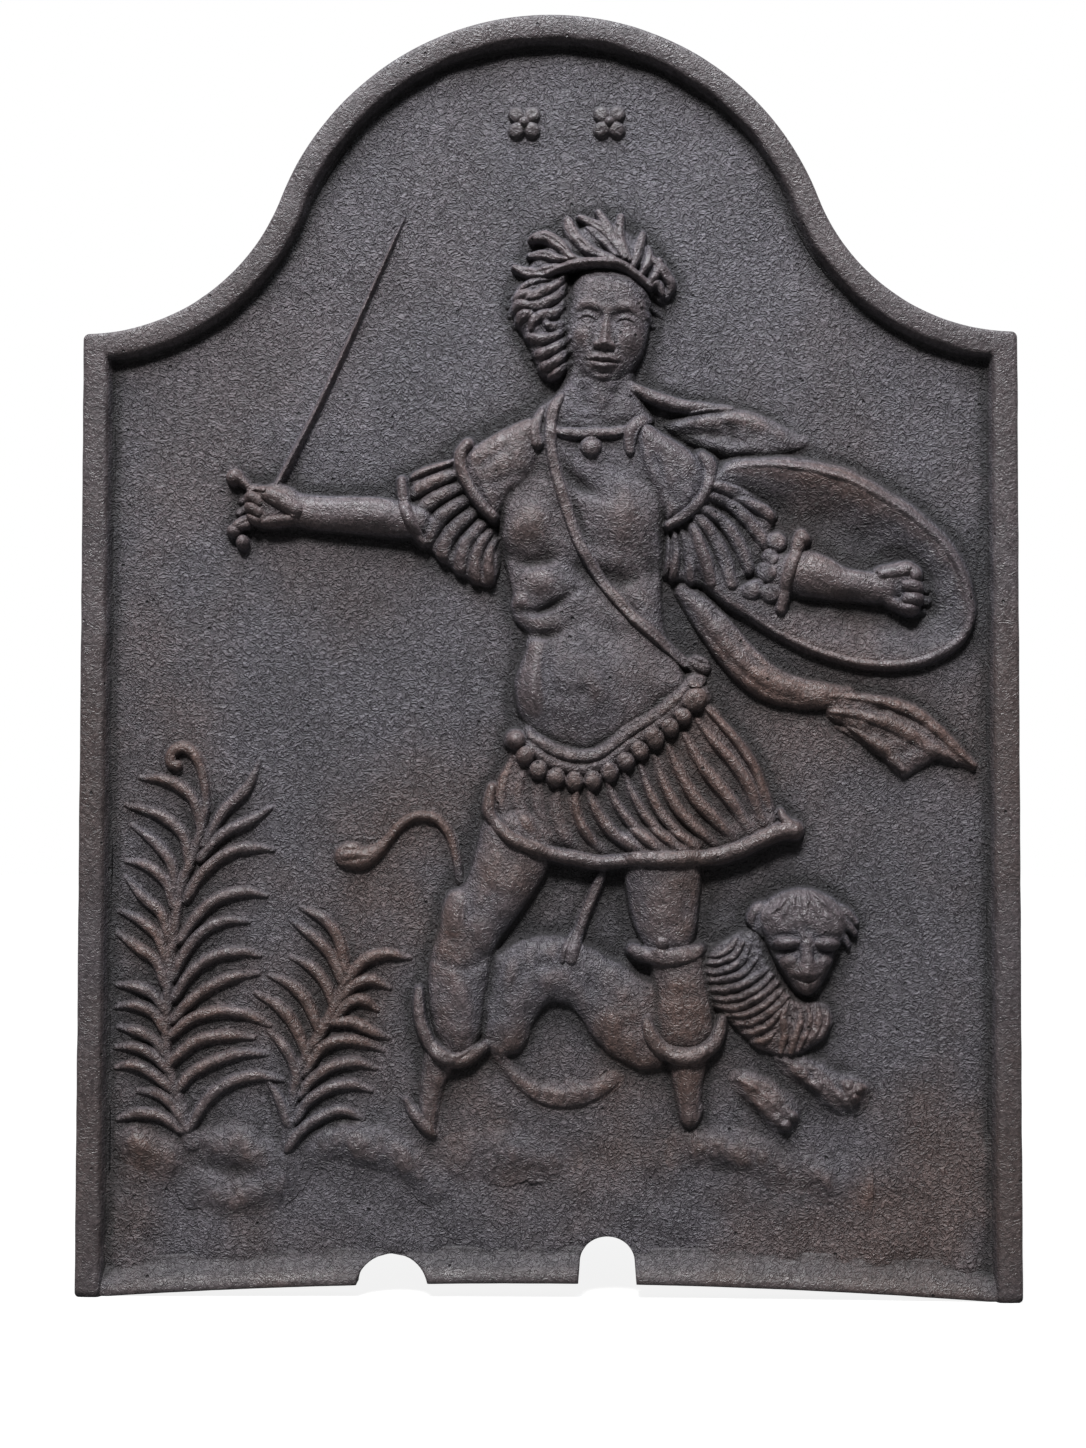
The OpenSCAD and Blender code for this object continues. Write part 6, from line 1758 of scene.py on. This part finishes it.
def iron(slot, grain_group, tone_group, grey, brown, browning, ridges, grit):
    """One finish of the casting."""
    material = bpy.data.materials.new(slot)
    material.use_nodes = True
    tree = material.node_tree
    shader = tree.nodes["Principled BSDF"]
    grain = tree.nodes.new("ShaderNodeGroup")
    grain.node_tree = grain_group
    set_inputs(grain, {"Ridges": ridges, "Grit": grit})
    tone = tree.nodes.new("ShaderNodeGroup")
    tone.node_tree = tone_group
    set_inputs(tone, {"Grey": (*grey, 1), "Brown": (*brown, 1), "Browning": browning})
    tree.links.new(grain.outputs["Pits"], tone.inputs["Pits"])
    tree.links.new(grain.outputs["Crests"], tone.inputs["Crests"])
    tree.links.new(tone.outputs["Color"], shader.inputs["Base Color"])
    tree.links.new(tone.outputs["Roughness"], shader.inputs["Roughness"])
    bump = tree.nodes.new("ShaderNodeBump")
    set_inputs(bump, {"Distance": GRAIN_DEPTH, "Strength": 1.0})
    height = maths(tree, "MULTIPLY", grain.outputs["Height"],
                   maths(tree, "SUBTRACT", 1.0, maths(tree, "MULTIPLY", tone.outputs["Rub"], 0.45)))
    tree.links.new(height, bump.inputs["Height"])
    tree.links.new(bump.outputs["Normal"], shader.inputs["Normal"])
    set_inputs(shader, {"Metallic": 0.0, "Specular IOR Level": 0.5})
    return material


def set_finishes():
    """Makes the four finishes and gives each piece its own."""
    grain, tone = sand_grain_group(), iron_tone_group()
    finishes = {slot: iron(slot, grain, tone, *look) for slot, look in FINISHES.items()}
    for piece, slot in pieces:
        piece.data.materials.clear()
        piece.data.materials.append(finishes[slot])


def mark_crests_and_hollows():
    """Each piece's vertices say how far they stand above or below what is round them."""
    here, around, widely = (blurred(canvas.height, radius / CANVAS_STEP)
                            for radius in (HERE, AROUND, FAR_AROUND))
    # The finishes use this to make the crests browner and to paint shade into the hollows.
    stand = np.clip((here - around) / 1.6 + (around - widely) / 5, -1, 1)
    for piece, _ in pieces:
        mesh = piece.data
        places = np.empty(len(mesh.vertices) * 3, np.float32)
        mesh.vertices.foreach_get("co", places)
        x, y, z = places.reshape(-1, 3).T / MM
        values = canvas.look_up(stand, x, z)
        values = np.where(y > FIELD_Y + 1, 0.0, values)
        attribute = mesh.attributes.new("stand", "FLOAT", "POINT")
        attribute.data.foreach_set("value", values.astype(np.float32))


# ---- stage, light and camera -------------------------------------------------------------

# The photograph's viewpoint: place in metres, turn in degrees about x, y and z, and lens.
CAMERA_PLACE = (0.02553, -1.2, 0.2365)
CAMERA_TURN = (90 + 2.32, -0.11, 1.33)
CAMERA_LENS = 59.61
SENSOR_HEIGHT = 36


def stage():
    """A pale floor, and a world that is plain white to the camera and soft on the iron."""
    mesh = bpy.data.meshes.new("floor")
    side, front, back = 6.0, -0.6, 9.0
    corners = [(-side, front, 0), (side, front, 0), (side, back, 0), (-side, back, 0)]
    mesh.from_pydata(corners, [], [(0, 1, 2, 3)])
    floor = bpy.data.objects.new("floor", mesh)
    bpy.context.scene.collection.objects.link(floor)
    pale = bpy.data.materials.new("pale_floor")
    pale.use_nodes = True
    tree = pale.node_tree
    shader = tree.nodes["Principled BSDF"]
    set_inputs(shader, {"Base Color": (0.16, 0.16, 0.16, 1), "Roughness": 0.9,
                        "Specular IOR Level": 0.0, "Emission Color": (1, 1, 1, 1)})
    place = tree.nodes.new("ShaderNodeTexCoord").outputs["Object"]
    glow = maths(tree, "MULTIPLY", backdrop_seen(tree, place), 0.86)
    tree.links.new(glow, shader.inputs["Emission Strength"])
    mesh.materials.append(pale)

    world = bpy.data.worlds.new("studio")
    bpy.context.scene.world = world
    world.use_nodes = True
    tree = world.node_tree
    background = tree.nodes["Background"]
    background.inputs["Color"].default_value = (1, 1, 1, 1)
    way = tree.nodes.new("ShaderNodeTexCoord").outputs["Generated"]
    height = tree.nodes.new("ShaderNodeSeparateXYZ")
    tree.links.new(way, height.inputs[0])
    soft = spread(tree, height.outputs["Z"], -0.3, 0.9, 0.01, 0.24)
    strength = maths(tree, "MAXIMUM", backdrop_seen(tree, way), soft)
    tree.links.new(strength, background.inputs["Strength"])


def backdrop_seen(tree, place):
    """1 where a ray shows the white backdrop: from the camera, through glass, or behind the plate."""
    path = tree.nodes.new("ShaderNodeLightPath")
    split = tree.nodes.new("ShaderNodeSeparateXYZ")
    tree.links.new(place, split.inputs[0])
    behind = maths(tree, "GREATER_THAN", split.outputs["Y"], 0.05)
    mirrored = maths(tree, "MULTIPLY", path.outputs["Is Glossy Ray"], behind)
    seen = maths(tree, "MAXIMUM", path.outputs["Is Camera Ray"], path.outputs["Is Transmission Ray"])
    return maths(tree, "MAXIMUM", seen, mirrored)


def add_light(name, kind, place, aim, strength, colour):
    """A lamp at a place, turned to what it aims at."""
    light = bpy.data.lights.new(name, kind)
    light.energy = strength
    light.color = colour
    lamp = bpy.data.objects.new(name, light)
    bpy.context.scene.collection.objects.link(lamp)
    lamp.location = place
    lamp.rotation_euler = (Vector(aim) - Vector(place)).to_track_quat("-Z", "Y").to_euler()
    return light


def lights():
    """A broad light from above and a little to the left, and an overhead one nearer the crown."""
    key = add_light("key", "SUN", place=(-0.22, -1.2, 1.76), aim=(0, 0, 0.32), strength=4.3,
                    colour=(1.0, 0.99, 0.98))
    key.angle = math.radians(11)
    overhead = add_light("overhead", "AREA", place=(-0.1, -0.4, 1.5), aim=(0, 0, 0.5), strength=16,
                         colour=(0.84, 0.92, 1.0))
    overhead.shape = "RECTANGLE"
    overhead.size, overhead.size_y = 1.1, 0.5


def camera():
    """The photograph's view: from in front, below the middle, looking slightly up and to the left."""
    data = bpy.data.cameras.new("camera")
    data.sensor_fit = "VERTICAL"
    data.sensor_height = SENSOR_HEIGHT
    data.lens = CAMERA_LENS
    eye = bpy.data.objects.new("camera", data)
    bpy.context.scene.collection.objects.link(eye)
    eye.location = CAMERA_PLACE
    eye.rotation_euler = [math.radians(turn) for turn in CAMERA_TURN]
    bpy.context.scene.camera = eye


camera()
back_plate()
rim_moulding()
foot_rail()
cast_reliefs()
mark_crests_and_hollows()
set_finishes()
stage()
lights()
bpy.context.scene.view_settings.view_transform = "Standard"
